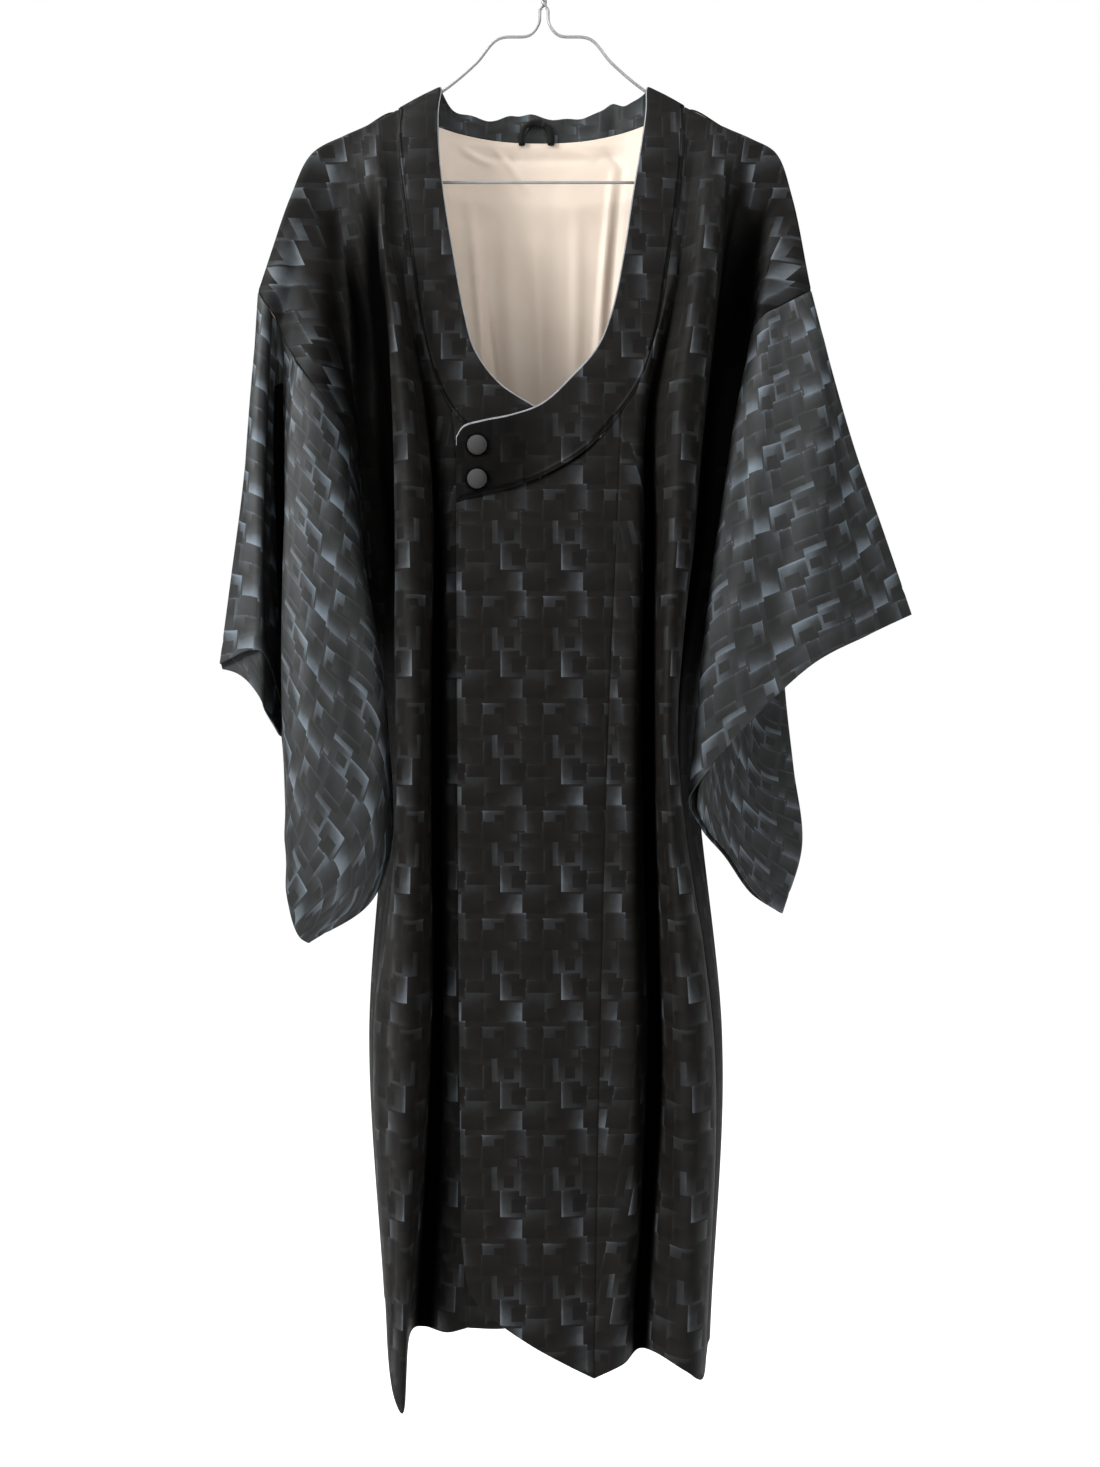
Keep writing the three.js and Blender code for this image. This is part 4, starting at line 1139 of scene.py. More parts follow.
@dataclass(frozen=True)
class Sleeve:
    """A wide hanging sleeve: two layers about one folded middle sheet, open at the cuff."""

    name: str
    lines: tuple[SleeveLine, ...]
    creases: tuple[Crease, ...]
    back_creases: tuple[Crease, ...]
    flat: tuple[float, float]
    longer_by: float = 0.0
    longer_at: float = 1.15
    longer_over: float = 0.75
    hem_band: float = 21.0
    # Painted shade in folds: columns on each side that make the mean, and the depth that counts as full.
    fold_reach: int = 5
    fold_depth: float = 12.0
    row_steps: int = 52
    column_steps: int = 78
    still_columns: int = 6

    def rows(self) -> np.ndarray:
        """Row places from armhole to cuff, closer together at the seam and at the cuff's hem."""
        at_seam, at_hem = [0.02, 0.06], [3.55, 3.62, 3.66, 3.70, 3.76, 3.95, 3.985]
        even = np.linspace(0, len(self.lines[0].at) - 1, self.row_steps + 1)
        return np.unique(np.concatenate([even, at_seam, at_hem]))

    def layers(self, rows: np.ndarray) -> tuple[np.ndarray, np.ndarray]:
        """The front and back layers.

        The middle sheet is a curve through the fold lines at each row. Each layer lies half the
        space away along the sheet's normal, and both meet in a round turn at the two outer folds.

        Args:
            rows: row places.

        Returns:
            Both layers, rows x columns x 3, columns from top fold to bottom fold.
        """
        gaps = np.array([line.gap for line in self.lines])
        spans = len(self.lines) - 1
        held = spline(np.array([line.at for line in self.lines], float).transpose(1, 0, 2), rows)
        reach = [gaps[0] / np.linalg.norm(held[:, 1] - held[:, 0], axis=1) / spans,
                 gaps[-1] / np.linalg.norm(held[:, -1] - held[:, -2], axis=1) / spans]
        turn = 1 - np.cos(QUARTER)
        start = reach[0][:, None] * turn
        end = 1 - reach[1][:, None] * turn[::-1]
        middle = np.linspace(0, 1, self.column_steps + 1)[1:-1]
        inside = start[:, -1:] + (end[:, :1] - start[:, -1:]) * middle
        shares = np.concatenate([start, inside, end], axis=1)
        sheet = np.stack([spline(held[r], shares[r] * spans) for r in range(len(rows))])
        normals = surface_normals(sheet)
        if normals[0, len(turn), 1] > 0:
            normals = -normals
        rounding = np.sin(QUARTER)
        rounds = np.concatenate([rounding, np.ones(len(middle)), rounding[::-1]])
        place = shares * spans
        low = np.clip(np.floor(place).astype(int), 0, spans - 1)
        gap = gaps[low] + (gaps[low + 1] - gaps[low]) * smoothstep(place - low)
        apart = normals * (gap * rounds)[..., None]
        front, back = sheet + apart, sheet - apart
        longer = np.exp(-(((place - self.longer_at) / self.longer_over) ** 2))
        back[..., 2] -= self.longer_by * longer * smoothstep(rows - 3)[:, None]
        return front, back

    def seam_edge(self, layer: Layer) -> np.ndarray:
        """The edge that is sewn to a panel, from the top fold to the line named underarm.

        Args:
            layer: the front or the back layer.

        Returns:
            The points of that layer's first row.
        """
        front, back = self.layers(np.array([0.0, 0.5]))
        edge = (front if layer is Layer.FRONT else back)[0]
        target = next(line.at[0] for line in self.lines if line.name == "underarm")
        last = int(np.linalg.norm(edge - target, axis=1).argmin())
        return edge[: last + 1]

    def shell(self) -> Shell:
        """The whole sleeve as one tube of cloth, with its seam dip, hem band and creases.

        Returns:
            The shell, whose columns go down the front layer and up the back one.
        """
        rows = self.rows()
        front, back = self.layers(rows)
        ring = np.concatenate([front, back[:, 1:-1][:, ::-1]], axis=1)
        count = front.shape[1]
        normals = surface_normals(ring, closed=True)
        middle = (len(rows) // 2, count // 2)
        normals = normals * np.sign((normals[middle] * (front[middle] - back[middle])).sum())
        still = self.still_columns
        grid = ring
        for folds, columns in ((self.creases, slice(still, count - still)),
                               (self.back_creases, slice(count + still, -still))):
            facing = np.zeros(ring.shape[:2])
            facing[:, columns] = 1
            grid = creased(grid, normals, folds, facing)
        along = lengths_along(ring, 0).mean(axis=1)
        to_cuff = along[-1] - along
        dip = seam_dip(along) + 0.45 * seam_dip(to_cuff - self.hem_band, 1.0, 1.6)
        grid = grid - normals * dip[:, None, None]
        # Painted shade: how deep each place lies in a fold, from its neighbours and from the creases.
        before = recesses(-grid[:, :count, 1], self.fold_reach, self.fold_depth)
        behind = recesses(grid[:, count:, 1], self.fold_reach, self.fold_depth)
        deep = np.maximum(np.concatenate([before, behind], axis=1), sunk(ring, grid, normals))
        cloth = self.places(front, back)
        return Shell(self.name, grid, normals, cloth, CLOTH, closed=True, painted_shade=deep)

    def places(self, front: np.ndarray, back: np.ndarray) -> np.ndarray:
        """Cloth places: across from armhole to cuff, down from the top fold on both layers.

        Args:
            front: the front layer.
            back: the back layer.

        Returns:
            rows x (columns + 1) x 2, where the bottom fold is a seam.
        """
        along = lengths_along(front, 0)

        def depth(layer: np.ndarray) -> np.ndarray:
            """Length down each row from the top fold, half drawn to its mean."""
            size = lengths_along(layer, 1)
            return 0.5 * size + 0.5 * size.mean(axis=0)

        first, second = depth(front), depth(back)
        ring = np.concatenate([first, -second[:, 1:-1][:, ::-1], first[:, :1]], axis=1)
        across = np.concatenate([along, along[:, 1:-1][:, ::-1], along[:, :1]], axis=1)
        across = 0.4 * across + 0.6 * across.mean(axis=1, keepdims=True)
        return np.stack([across, ring], axis=2)

    def build(self, finishes: Finishes) -> Object:
        """Makes the sleeve, faced inside with its own cloth."""
        # Both faces take the lighter copy of the brocade, which paints sheen.
        piece = self.shell().build(finishes.brocade_painted_sheen, finishes.brocade_painted_sheen)
        return hung(piece, self.name)


# ---------------------------------------------------------------- body panels


@dataclass(frozen=True)
class NeckBand:
    """A front neck band: inner and outer edges as x, z, and how far out it lies."""

    name: str
    table: tuple[tuple[tuple[float, float], tuple[float, float], float], ...]
    width: float
    flat: tuple[float, float]
    # Rows at the band's end over which the painted edge highlight goes round the corner.
    highlight_end_rows: int = 0
    button_places: tuple[tuple[float, float], ...] = ()
    still_edge: float = 4.0
    bent_rows: float = 2.2
    # The painted shadow round the buttons: the rim's width, then the pool's strength, reach and fade.
    rim_shade: float = 2.2
    pool_strength: float = 0.45
    pool_reach: float = 75.0
    pool_fade: float = 45.0

    def edge_lines(self, shoulder: Shoulder) -> np.ndarray:
        """Control points of the inner, middle and outer lines, over the shoulder and down.

        Args:
            shoulder: the shoulder that carries the band.

        Returns:
            N x 3 lines x 3.
        """
        size = RIDGE_RADIUS + BAND_LIFT
        start = [shoulder.bend(along, Layer.FRONT, BAND_LIFT, size)[ROLL] for along in (0.0, self.width)]
        inner = np.array([(a[0], y, a[1]) for a, _, y in self.table], float)
        outer = np.array([(b[0], y, b[1]) for _, b, y in self.table], float)
        inner, outer = np.concatenate([start[0], inner]), np.concatenate([start[1], outer])
        middle = (inner + outer) / 2 + (0, -1.2, 0)
        return np.stack([inner, middle, outer], axis=1)

    def sewn_edge(self, shoulder: Shoulder) -> np.ndarray:
        """Control points of the edge that is sewn to the front, from the end of the bend down."""
        return self.edge_lines(shoulder)[:, 2]

    def button_shade(self, grid: np.ndarray) -> np.ndarray:
        """Painted shadow on the band near its buttons: a dark rim close to each and a soft pool of
        painted shade about it.

        Args:
            grid: rows x columns x 3.

        Returns:
            Rows x columns, 0 to 1.
        """
        shade = np.zeros(grid.shape[:2])
        for button in self.button_places:
            reach = np.linalg.norm(grid[..., [0, 2]] - button, axis=2)
            rim = np.exp(-(((reach - BUTTON_RADIUS) / self.rim_shade) ** 2))
            pool = self.pool_strength * smoothstep((self.pool_reach - reach) / self.pool_fade)
            shade = np.maximum(shade, np.maximum(rim, pool))
        return shade

    def shell(self, shoulder: Shoulder) -> Shell:
        """The band as a crowned strip, rolled at its neck edge and dipped at its seam.

        Args:
            shoulder: the shoulder that carries the band.

        Returns:
            The shell, whose columns go from the neck edge to the seam.
        """
        lines = self.edge_lines(shoulder)
        count = len(lines) - 1
        rows = edged(count, count * 9, (0.02, 0.06, 0.12))
        columns = edged(2, 20, (0.02, 0.05, 0.1))
        down = spline(lines, rows)
        grid = spline(down.transpose(1, 0, 2), columns).transpose(1, 0, 2)
        normals = surface_normals(grid, mirror=(True, False))
        normals = outward(normals, (len(rows) // 2, len(columns) // 2), Layer.FRONT)
        across = lengths_along(grid, 1).mean(axis=0)
        edges = seam_dip(across[-1] - across) + seam_dip(across, 0.5, 1.4)
        facing = calm_edges(across, self.still_edge)[None, :] * (rows > self.bent_rows)[:, None]
        grid = creased(grid, normals, (), facing)
        grid = grid - normals * edges[None, :, None]
        # The shade is painted shadow round the buttons, which also darkens the tab.
        places, shade = grid[..., [0, 2]] * (1, -1), self.button_shade(grid)
        # The first two columns, and the corner at the end, carry the painted edge highlight.
        return Shell(self.name, grid, normals, places, BAND_CLOTH, highlight_columns=2, highlight_end_rows=self.highlight_end_rows,
                     painted_shade=shade)

    def build(self, shoulder: Shoulder, finishes: Finishes) -> Object:
        """Makes the band."""
        piece = self.shell(shoulder).build(finishes.brocade, finishes.brocade, finishes.edge)
        return hung(piece, self.name)


@dataclass(frozen=True)
class Panel:
    """A front or back of the coat, from the shoulder down to the hem."""

    name: str
    layer: Layer
    lines: tuple[FoldLine, ...]
    creases: tuple[Crease, ...]
    flat: tuple[float, float]
    reference: int = 40
    nearest: float = 3.2
    seam_reach: int = 16
    still_edge: float = 9.0
    # Painted shade in folds: columns on each side that make the mean, and the depth that counts as full.
    fold_reach: int = 13
    fold_depth: float = 9.0
    # Where the painted sheen on the shoulders begins, across and in height, and over what distances it
    # comes in.
    painted_sheen_from: tuple[float, float] = (145.0, -620.0)
    painted_sheen_over: tuple[float, float] = (60.0, 160.0)
    above_wire: float = 0.3
    below_bar: float = 18.0
    release: float = 0.25
    row_steps: int = 176
    column_steps: int = 11
    clear_place: tuple[int, int] = (90, 50)

    def row_places(self) -> np.ndarray:
        """Row places from the end of the bend to the hem, closer together at the hem."""
        at_hem = HEM_ROW - np.array([0.015, 0.04, 0.09, 0.16])
        return np.unique(np.concatenate([np.linspace(0, HEM_ROW, self.row_steps + 1), at_hem]))

    def fold_line(self, line: FoldLine, shoulder: Shoulder, rows: np.ndarray) -> np.ndarray:
        """One fold line: the bend, then a curve through its levels.

        Args:
            line: the line.
            shoulder: the shoulder that carries it.
            rows: the row places below the bend.

        Returns:
            The points, down from the top.
        """
        if line.top:
            drop = (1 - np.cos(QUARTER)) * RIDGE_RADIUS
            bend = np.array(line.top, float) - np.stack([0 * drop, 0 * drop, drop], axis=1)
        else:
            bend = shoulder.bend(line.along, self.layer)
        heights = (*LEVELS, line.hem)
        control = np.array([bend[-1], *zip(line.x, line.y, heights)], float)
        spans = np.interp(rows, ROW_STARTS, np.arange(len(ROW_STARTS)))
        return np.concatenate([bend[:-1], spline(control, spans)])

    def side_seam(self, line: FoldLine, edge: np.ndarray, rows: np.ndarray) -> np.ndarray:
        """The outer line: along the sleeve's edge to the underarm, then the side seam.

        Args:
            line: the side seam's line.
            edge: the sleeve's edge.
            rows: the row places below the bend.

        Returns:
            The points, down from the top.
        """
        turn, above = len(BEND), rows < UNDERARM_ROW
        upper = by_length(edge[turn:], rows[above] / UNDERARM_ROW)
        heights = (LEVELS[2] - BELOW_UNDERARM, *LEVELS[3:], line.hem)
        control = np.array([edge[-1], *zip(line.x, line.y, heights)], float)
        lower = spline(control, np.interp(rows[~above], SIDE_STARTS, np.arange(len(SIDE_STARTS))))
        return np.concatenate([edge[:turn], upper, lower])

    def neck_seam(
        self, line: FoldLine, band: NeckBand, shoulder: Shoulder, rows: np.ndarray
    ) -> np.ndarray:
        """The inner line of a front: along the neck band to the yoke, then along the overlap.

        Args:
            line: the overlap seam's line.
            band: the neck band.
            shoulder: the shoulder that carries both.
            rows: the row places below the bend.

        Returns:
            The points, down from the top.
        """
        bend = shoulder.bend(band.width, self.layer)
        sewn, above = band.sewn_edge(shoulder), rows < YOKE_ROW
        rolled = len(ROLL) - 1
        upper = spline(sewn, rows[above] + rolled)
        heights, starts = (*LEVELS[2:], line.hem), ROW_STARTS[2:]
        control = np.array([sewn[YOKE_ROW + rolled], *zip(line.x[2:], line.y[2:], heights)], float)
        lower = spline(control, np.interp(rows[~above], starts, np.arange(len(starts))))
        return np.concatenate([bend[:-1], upper, lower])

    def grid(self, shoulder: Shoulder, sleeve: Sleeve, band: NeckBand | None) -> np.ndarray:
        """The panel's surface: at every row a smooth curve through its fold lines.

        Args:
            shoulder: the shoulder that carries it.
            sleeve: the sleeve sewn to it.
            band: the neck band sewn to a front.

        Returns:
            rows x columns x 3.
        """
        rows = self.row_places()
        folds = [self.fold_line(line, shoulder, rows) for line in self.lines[:-1]]
        if band:
            folds[0] = self.neck_seam(self.lines[0], band, shoulder, rows)
        folds.append(self.side_seam(self.lines[-1], sleeve.seam_edge(self.layer), rows))
        spans = len(folds) - 1
        columns = edged(spans, spans * self.column_steps, (0.03, 0.08, 0.16))
        grid = spline(np.array(folds), columns).transpose(1, 0, 2)
        return self.clear_of_wire(grid)

    def clear_of_wire(self, grid: np.ndarray) -> np.ndarray:
        """Keeps the cloth off the plane of the hanger, down to a little below its bar.

        Args:
            grid: rows x columns x 3.

        Returns:
            The surface, moved out where it lay closer than the wire lets it.
        """
        least = np.full(grid.shape[:2], RIDGE_RADIUS + self.above_wire)
        least[: len(QUARTER)] = (np.sin(QUARTER) * RIDGE_RADIUS)[:, None]
        fade = np.minimum(0, (grid[..., 2] - BAR_Z + self.below_bar) * self.release)
        fade[0] = 0
        out = grid.copy()
        out[..., 1] = self.layer.value * np.maximum(self.layer.value * grid[..., 1], least + fade)
        return out

    def drawn_to(self, grid: np.ndarray, seam: np.ndarray) -> np.ndarray:
        """The surface with its last column on the side seam, from the underarm down.

        Args:
            grid: rows x columns x 3.
            seam: the side seam, one point for each row.

        Returns:
            The surface, moved less and less over its last columns.
        """
        rows = np.concatenate([np.zeros(len(BEND)), self.row_places()])
        to_seam = np.arange(grid.shape[1])[::-1]
        fade = smoothstep((self.seam_reach - to_seam) / self.seam_reach)
        share = smoothstep((rows - UNDERARM_ROW + 0.5) / 1.5)
        return grid + (seam - grid[:, -1])[:, None] * (share[:, None] * fade[None, :])[..., None]

    def shell(self, grid: np.ndarray) -> Shell:
        """The panel as cloth, creased, with its two seams drawn in.

        Args:
            grid: rows x columns x 3.

        Returns:
            The shell, whose columns go from the inner seam to the outer one.
        """
        normals = outward(surface_normals(grid, mirror=(True, False)), self.clear_place, self.layer)
        left = lengths_along(grid, 1)
        right = left[:, -1:] - left
        calm = calm_edges(left, self.still_edge)
        calm[: len(QUARTER)] = 0
        places = cloth_places(grid, min(self.reference, grid.shape[1] - 1))
        moved = creased(grid, normals, self.creases, calm)
        moved = moved - normals * (seam_dip(left) + seam_dip(right))[..., None]
        least = np.minimum(self.layer.value * grid[..., 1], self.nearest)
        moved[..., 1] = self.layer.value * np.maximum(self.layer.value * moved[..., 1], least)
        # Painted shade: how deep each place lies in a fold, from its neighbours and from the creases.
        folded = recesses(self.layer.value * moved[..., 1], self.fold_reach, self.fold_depth)
        deep = np.maximum(folded, sunk(grid, moved, normals))
        # Painted sheen: the panel is painted lighter towards its outer edge above the waist, like the
        # sleeve.
        side = (np.abs(moved[..., 0]) - self.painted_sheen_from[0]) / self.painted_sheen_over[0]
        high = (moved[..., 2] - self.painted_sheen_from[1]) / self.painted_sheen_over[1]
        painted_sheen = smoothstep(side) * smoothstep(high)
        return Shell(self.name, moved, normals, places, CLOTH, painted_shade=deep, painted_sheen=painted_sheen)

    def build(self, grid: np.ndarray, finishes: Finishes) -> Object:
        """Makes the panel over its surface, lined inside."""
        piece = self.shell(grid).build(finishes.brocade, finishes.lining)
        return hung(piece, self.name)


@dataclass(frozen=True)
class Overlap:
    """A narrow overlap panel, sewn to a front: lines of top, hem and x, y at five levels."""

    name: str
    table: tuple[tuple[float, float, tuple[tuple[float, float], ...]], ...]
    seam_last: bool
    flat: tuple[float, float]
    creases: tuple[Crease, ...]
    still_edge: float = 8.0
    row_steps: int = 132
    column_steps: int = 12
    clear_place: tuple[int, int] = (60, 20)

    def shell(self) -> Shell:
        """The panel: at every row a smooth curve through its upright lines.

        Returns:
            The shell, whose columns go through the lines in their order.
        """
        rows = edged(len(self.table[0][2]) - 1, self.row_steps, (0.01, 0.03, 0.06))
        spans = len(self.table) - 1
        columns = edged(spans, spans * self.column_steps, (0.02, 0.05, 0.1))
        lines = []
        for top, hem, at in self.table:
            heights = (top, *LEVELS[2:], hem)
            control = np.array([(x, y, z) for (x, y), z in zip(at, heights)], float)
            lines.append(spline(control, rows))
        grid = spline(np.array(lines), columns).transpose(1, 0, 2)
        normals = outward(surface_normals(grid), self.clear_place, Layer.FRONT)
        left = lengths_along(grid, 1)
        seam = left[:, -1:] - left if self.seam_last else left
        moved = creased(grid, normals, self.creases, calm_edges(left, self.still_edge))
        fall = lengths_along(grid[:, self.clear_place[1]], 0)
        dip = seam_dip(seam) + seam_dip(fall)[:, None]
        moved = moved - normals * dip[..., None]
        places = np.stack([grid[..., 0], -grid[..., 2]], axis=2)
        return Shell(self.name, moved, normals, places, CLOTH)

    def build(self, finishes: Finishes) -> Object:
        """Makes the panel, lined inside."""
        piece = self.shell().build(finishes.brocade, finishes.lining)
        return hung(piece, self.name)


@dataclass(frozen=True)
class BackBand:
    """The neck band behind the neck, from one shoulder round to the other."""

    table: tuple[tuple[tuple[float, float, float], tuple[float, float, float]], ...]
    widths: tuple[float, float]
    flat: tuple[float, float] = (0.056, 0.30)
    name: str = "collar_back"
    wave_rows: tuple[tuple[float, float, float], ...] = (
        (-80, 9, -2.6), (-52, 10, -3.0), (-32, 7, 2.2), (-12, 8, 2.6),
        (8, 9, -2.0), (34, 10, -2.8), (62, 6, 4.0), (74, 5, -1.6),
    )  # x, width and depth of each rise or dip of the standing edge
    rumples: tuple[Crease, ...] = creases(
        ((-78, -172), (-30, -158), 6, 1.6, 3),
        ((-60, -150), (-52, -192), 5, -1.2),
        ((-26, -150), (-16, -195), 6, 1.3),
        ((16, -150), (30, -190), 7, -1.1, 4),
        ((52, -142), (56, -194), 4.5, 1.8),
        ((66, -138), (64, -192), 2.4, -2.2),  # the one sharp fold
        ((24, -172), (60, -166), 5, 1.0),
    )

    def smooth_shell(self, right: Shoulder, left: Shoulder) -> Shell:
        """The band as a crowned strip, before it is rumpled.

        Args:
            right: the shoulder where its columns' lines start.
            left: the shoulder where they end.

        Returns:
            The shell, whose columns go from the standing edge to the seam.
        """
        size = RIDGE_RADIUS + BAND_LIFT
        ends = [[s.bend(along, Layer.BACK, BAND_LIFT, size)[ROLL] for along in (0.0, w)]
                for s, w in ((right, self.widths[0]), (left, self.widths[1]))]
        inner = np.concatenate([ends[0][0], [a for a, _ in self.table], ends[1][0][::-1]])
        outer = np.concatenate([ends[0][1], [b for _, b in self.table], ends[1][1][::-1]])
        lines = np.stack([inner, (inner + outer) / 2 + (0, 1.0, 0), outer], axis=1)
        rows = edged(len(lines) - 1, (len(lines) - 1) * 10, (0.05,))
        columns = edged(2, 22, (0.02, 0.06))
        grid = spline(spline(lines, rows).transpose(1, 0, 2), columns).transpose(1, 0, 2)
        normals = surface_normals(grid, mirror=(True, True))
        normals = outward(normals, (len(rows) // 2, len(columns) // 2), Layer.FRONT)
        return Shell(self.name, grid, normals, grid[..., [0, 2]] * (1, -1), BAND_CLOTH)

    def shell(self, right: Shoulder, left: Shoulder) -> Shell:
        """The band, rumpled, with rises and dips of its standing edge that end at the seam.

        Args:
            right: the shoulder where its columns' lines start.
            left: the shoulder where they end.

        Returns:
            The shell.
        """
        shell = self.smooth_shell(right, left)
        x, z = shell.middle[..., 0], shell.middle[..., 2]
        rise = sum(rumple.rise(x, z) for rumple in self.rumples)
        shell.middle = shell.middle + shell.normals * rise[..., None]
        waves = creases(*(((at, -30), (at, 30), *sizes) for at, *sizes in self.wave_rows))
        share = np.linspace(1, 0, shell.middle.shape[1]) ** 2
        shell.middle[..., 2] += share * sum(wave.rise(x, 0 * z) for wave in waves)
        return shell

    def build(self, right: Shoulder, left: Shoulder, finishes: Finishes) -> Object:
        """Makes the band."""
        # The band takes the lighter copy of the brocade, which paints sheen.
        finish = finishes.brocade_painted_sheen
        piece = self.shell(right, left).build(finish, finish)
        return hung(piece, self.name)


@dataclass(frozen=True)
class BackLining:
    """The lining that shows inside the neck: lines of x, top and y at four levels."""

    table: tuple[tuple[float, float, tuple[float, ...]], ...]
    levels: tuple[float, ...] = (-215.0, -312.0, -470.0)
    flat: tuple[float, float] = (0.21, 0.31)
    name: str = "lining_back"
    thickness: float = 0.9
    clear_place: tuple[int, int] = (40, 40)
    folds: tuple[Crease, ...] = creases(
        ((-86, -176), (84, -176), 3.2, 2.0, 3),
        ((-80, -187), (78, -188), 5, -1.8, 3),
        ((-70, -222), (-54, -440), 5, 2.6, 3),
        ((-34, -232), (-22, -450), 9, 2.2, -4),
        ((4, -205), (12, -430), 10, -1.8, 3),
        ((30, -225), (26, -450), 6, 2.4, 2),
        ((64, -196), (46, -440), 3, 3.2, -2),
        ((72, -190), (56, -420), 4, -2.6, -2),
        ((-58, -300), (-44, -400), 2.4, -1.8, 1),
        ((-10, -250), (-2, -460), 5, 1.4, 2),
        ((-52, -170), (-14, -218), 2.5, 2.2, 2),
        ((-40, -166), (-22, -196), 2, -1.6, 1),
        ((-78, -178), (-44, -192), 3.5, 2.0, -2),
        ((18, -174), (48, -188), 4, 1.8),
        ((52, -176), (74, -204), 3, -1.8, 2),
    )

    def shell(self) -> Shell:
        """The lining: at every row a smooth curve through its upright lines, softly folded.

        Returns:
            The shell, whose columns go from the wearer's right to the left.
        """
        rows = edged(3, 90, (0.02, 0.05))
        columns = edged(len(self.table) - 1, (len(self.table) - 1) * 14, (0.05,))
        lines = []
        for x, top, ys in self.table:
            control = np.array([(x, y, z) for y, z in zip(ys, (top, *self.levels))], float)
            lines.append(spline(control, rows))
        grid = spline(np.array(lines), columns).transpose(1, 0, 2)
        normals = outward(surface_normals(grid), self.clear_place, Layer.FRONT)
        calm = np.clip((rows - 0.02) / 0.35, 0, 1)[:, None]
        rise = sum(fold.rise(grid[..., 0], grid[..., 2]) for fold in self.folds)
        moved = grid + normals * (rise * calm)[..., None]
        return Shell(self.name, moved, normals, cloth_places(grid, 0), self.thickness)

    def build(self, finishes: Finishes) -> Object:
        """Makes the lining."""
        piece = self.shell().build(finishes.lining, finishes.lining)
        return hung(piece, self.name)


# ---------------------------------------------------------------- small pieces


@dataclass(frozen=True)
class CoveredButton:
    """A domed button, gathered under its rim."""

    name: str
    place: tuple[float, float]
    radius: float = BUTTON_RADIUS
    dome: float = 6.0
    y: float = -51.8
    back: float = -0.55 * np.pi  # angle where the flat back starts
    rim: float = -0.18 * np.pi  # angle where the back turns into the rim
    rim_rise: float = 0.22
    gathers: int = 24
    gather_depth: float = 0.012
    rings: int = 26
    spokes: int = 72

    def build(self, finishes: Finishes) -> Object:
        """Makes the button: a turned profile with faint gathers at its rim.

        The profile goes from the back's middle round the rim and over the dome. Its radius
        ripples at the rim with the sine of the gathers times the angle.

        Args:
            finishes: the coat's finishes.

        Returns:
            The button.
        """
        angle = np.interp(np.linspace(0, 1, self.rings), (0, 0.18, 1), (self.back, self.rim, np.pi / 2))
        reach = np.maximum(np.cos(angle), 0) ** 0.95
        reach[[0, -1]] = 0.0
        under = self.rim_rise * (1 - np.sin(angle) / np.sin(self.back))
        over = self.rim_rise + (1 - self.rim_rise) * np.sin(np.maximum(angle, 0))
        rise = np.where(angle < 0, under, over)[:, None]
        around = 2 * np.pi * np.arange(self.spokes) / self.spokes
        gathered = np.exp(-(((angle + 0.1) / 0.5) ** 2))[:, None] * np.sin(self.gathers * around)
        ripple = 1 + self.gather_depth * gathered
        radius = self.radius * reach[:, None] * ripple / ripple.max()
        x, z = self.place
        points = np.stack([x + radius * np.cos(around), self.y - self.dome * rise + 0 * radius,
                           z + radius * np.sin(around)], axis=2).reshape(-1, 3)
        quads = ring_quads(self.rings, self.spokes)
        places = points[quads][..., [0, 2]] * (1, -1)
        piece = mesh_object(self.name, points, quads, [finishes.button], None, places)
        weld(piece)
        stands_for(piece, self.name)
        return piece


@dataclass(frozen=True)
class HangingLoop:
    """The cloth loop at the back of the neck: a soft tube bent in an arch, puckered inside."""

    name: str = "hanging_loop"
    x: float = -7.0
    half_width: float = 15.0
    foot: float = -173.5
    top: float = -153.0
    y: float = 33.4
    half_depth: float = 1.984
    flattened: float = 1.55
    puckers: int = 31
    rings: int = 61
    sides: int = 20
    cloth: tuple[float, float] = (24.0, 70.0)
    flat: tuple[float, float] = (0.010, 0.062)

    def build(self, finishes: Finishes) -> Object:
        """Makes the loop: a flattened tube whose radius ripples where the cloth puckers.

        Args:
            finishes: the coat's finishes.

        Returns:
            The loop.
        """
        share = np.linspace(0, 1, self.rings)
        angle = np.pi * share
        rise = np.sin(angle) ** 0.8
        lean = 1 - 0.12 * (1 - rise)
        centres = np.stack([self.x - self.half_width * np.cos(angle) * lean, 0 * share + self.y,
                            self.foot + (self.top - self.foot) * rise], axis=1)
        pucker = np.sin(self.puckers * angle) * np.exp(-(((share - 0.5) / 0.3) ** 2))
        points, quads = tube(centres, self.half_depth * (1 + 0.05 * pucker), self.sides, self.flattened)
        around = np.tile(np.arange(self.sides) / self.sides, self.rings) * self.cloth[0]
        places = np.stack([around, np.repeat(share, self.sides) * self.cloth[1]], axis=1)[quads]
        piece = mesh_object(self.name, points, quads, [finishes.brocade], None, places)
        weld(piece)
        return hung(piece, self.name)


# ---------------------------------------------------------------- wire hanger


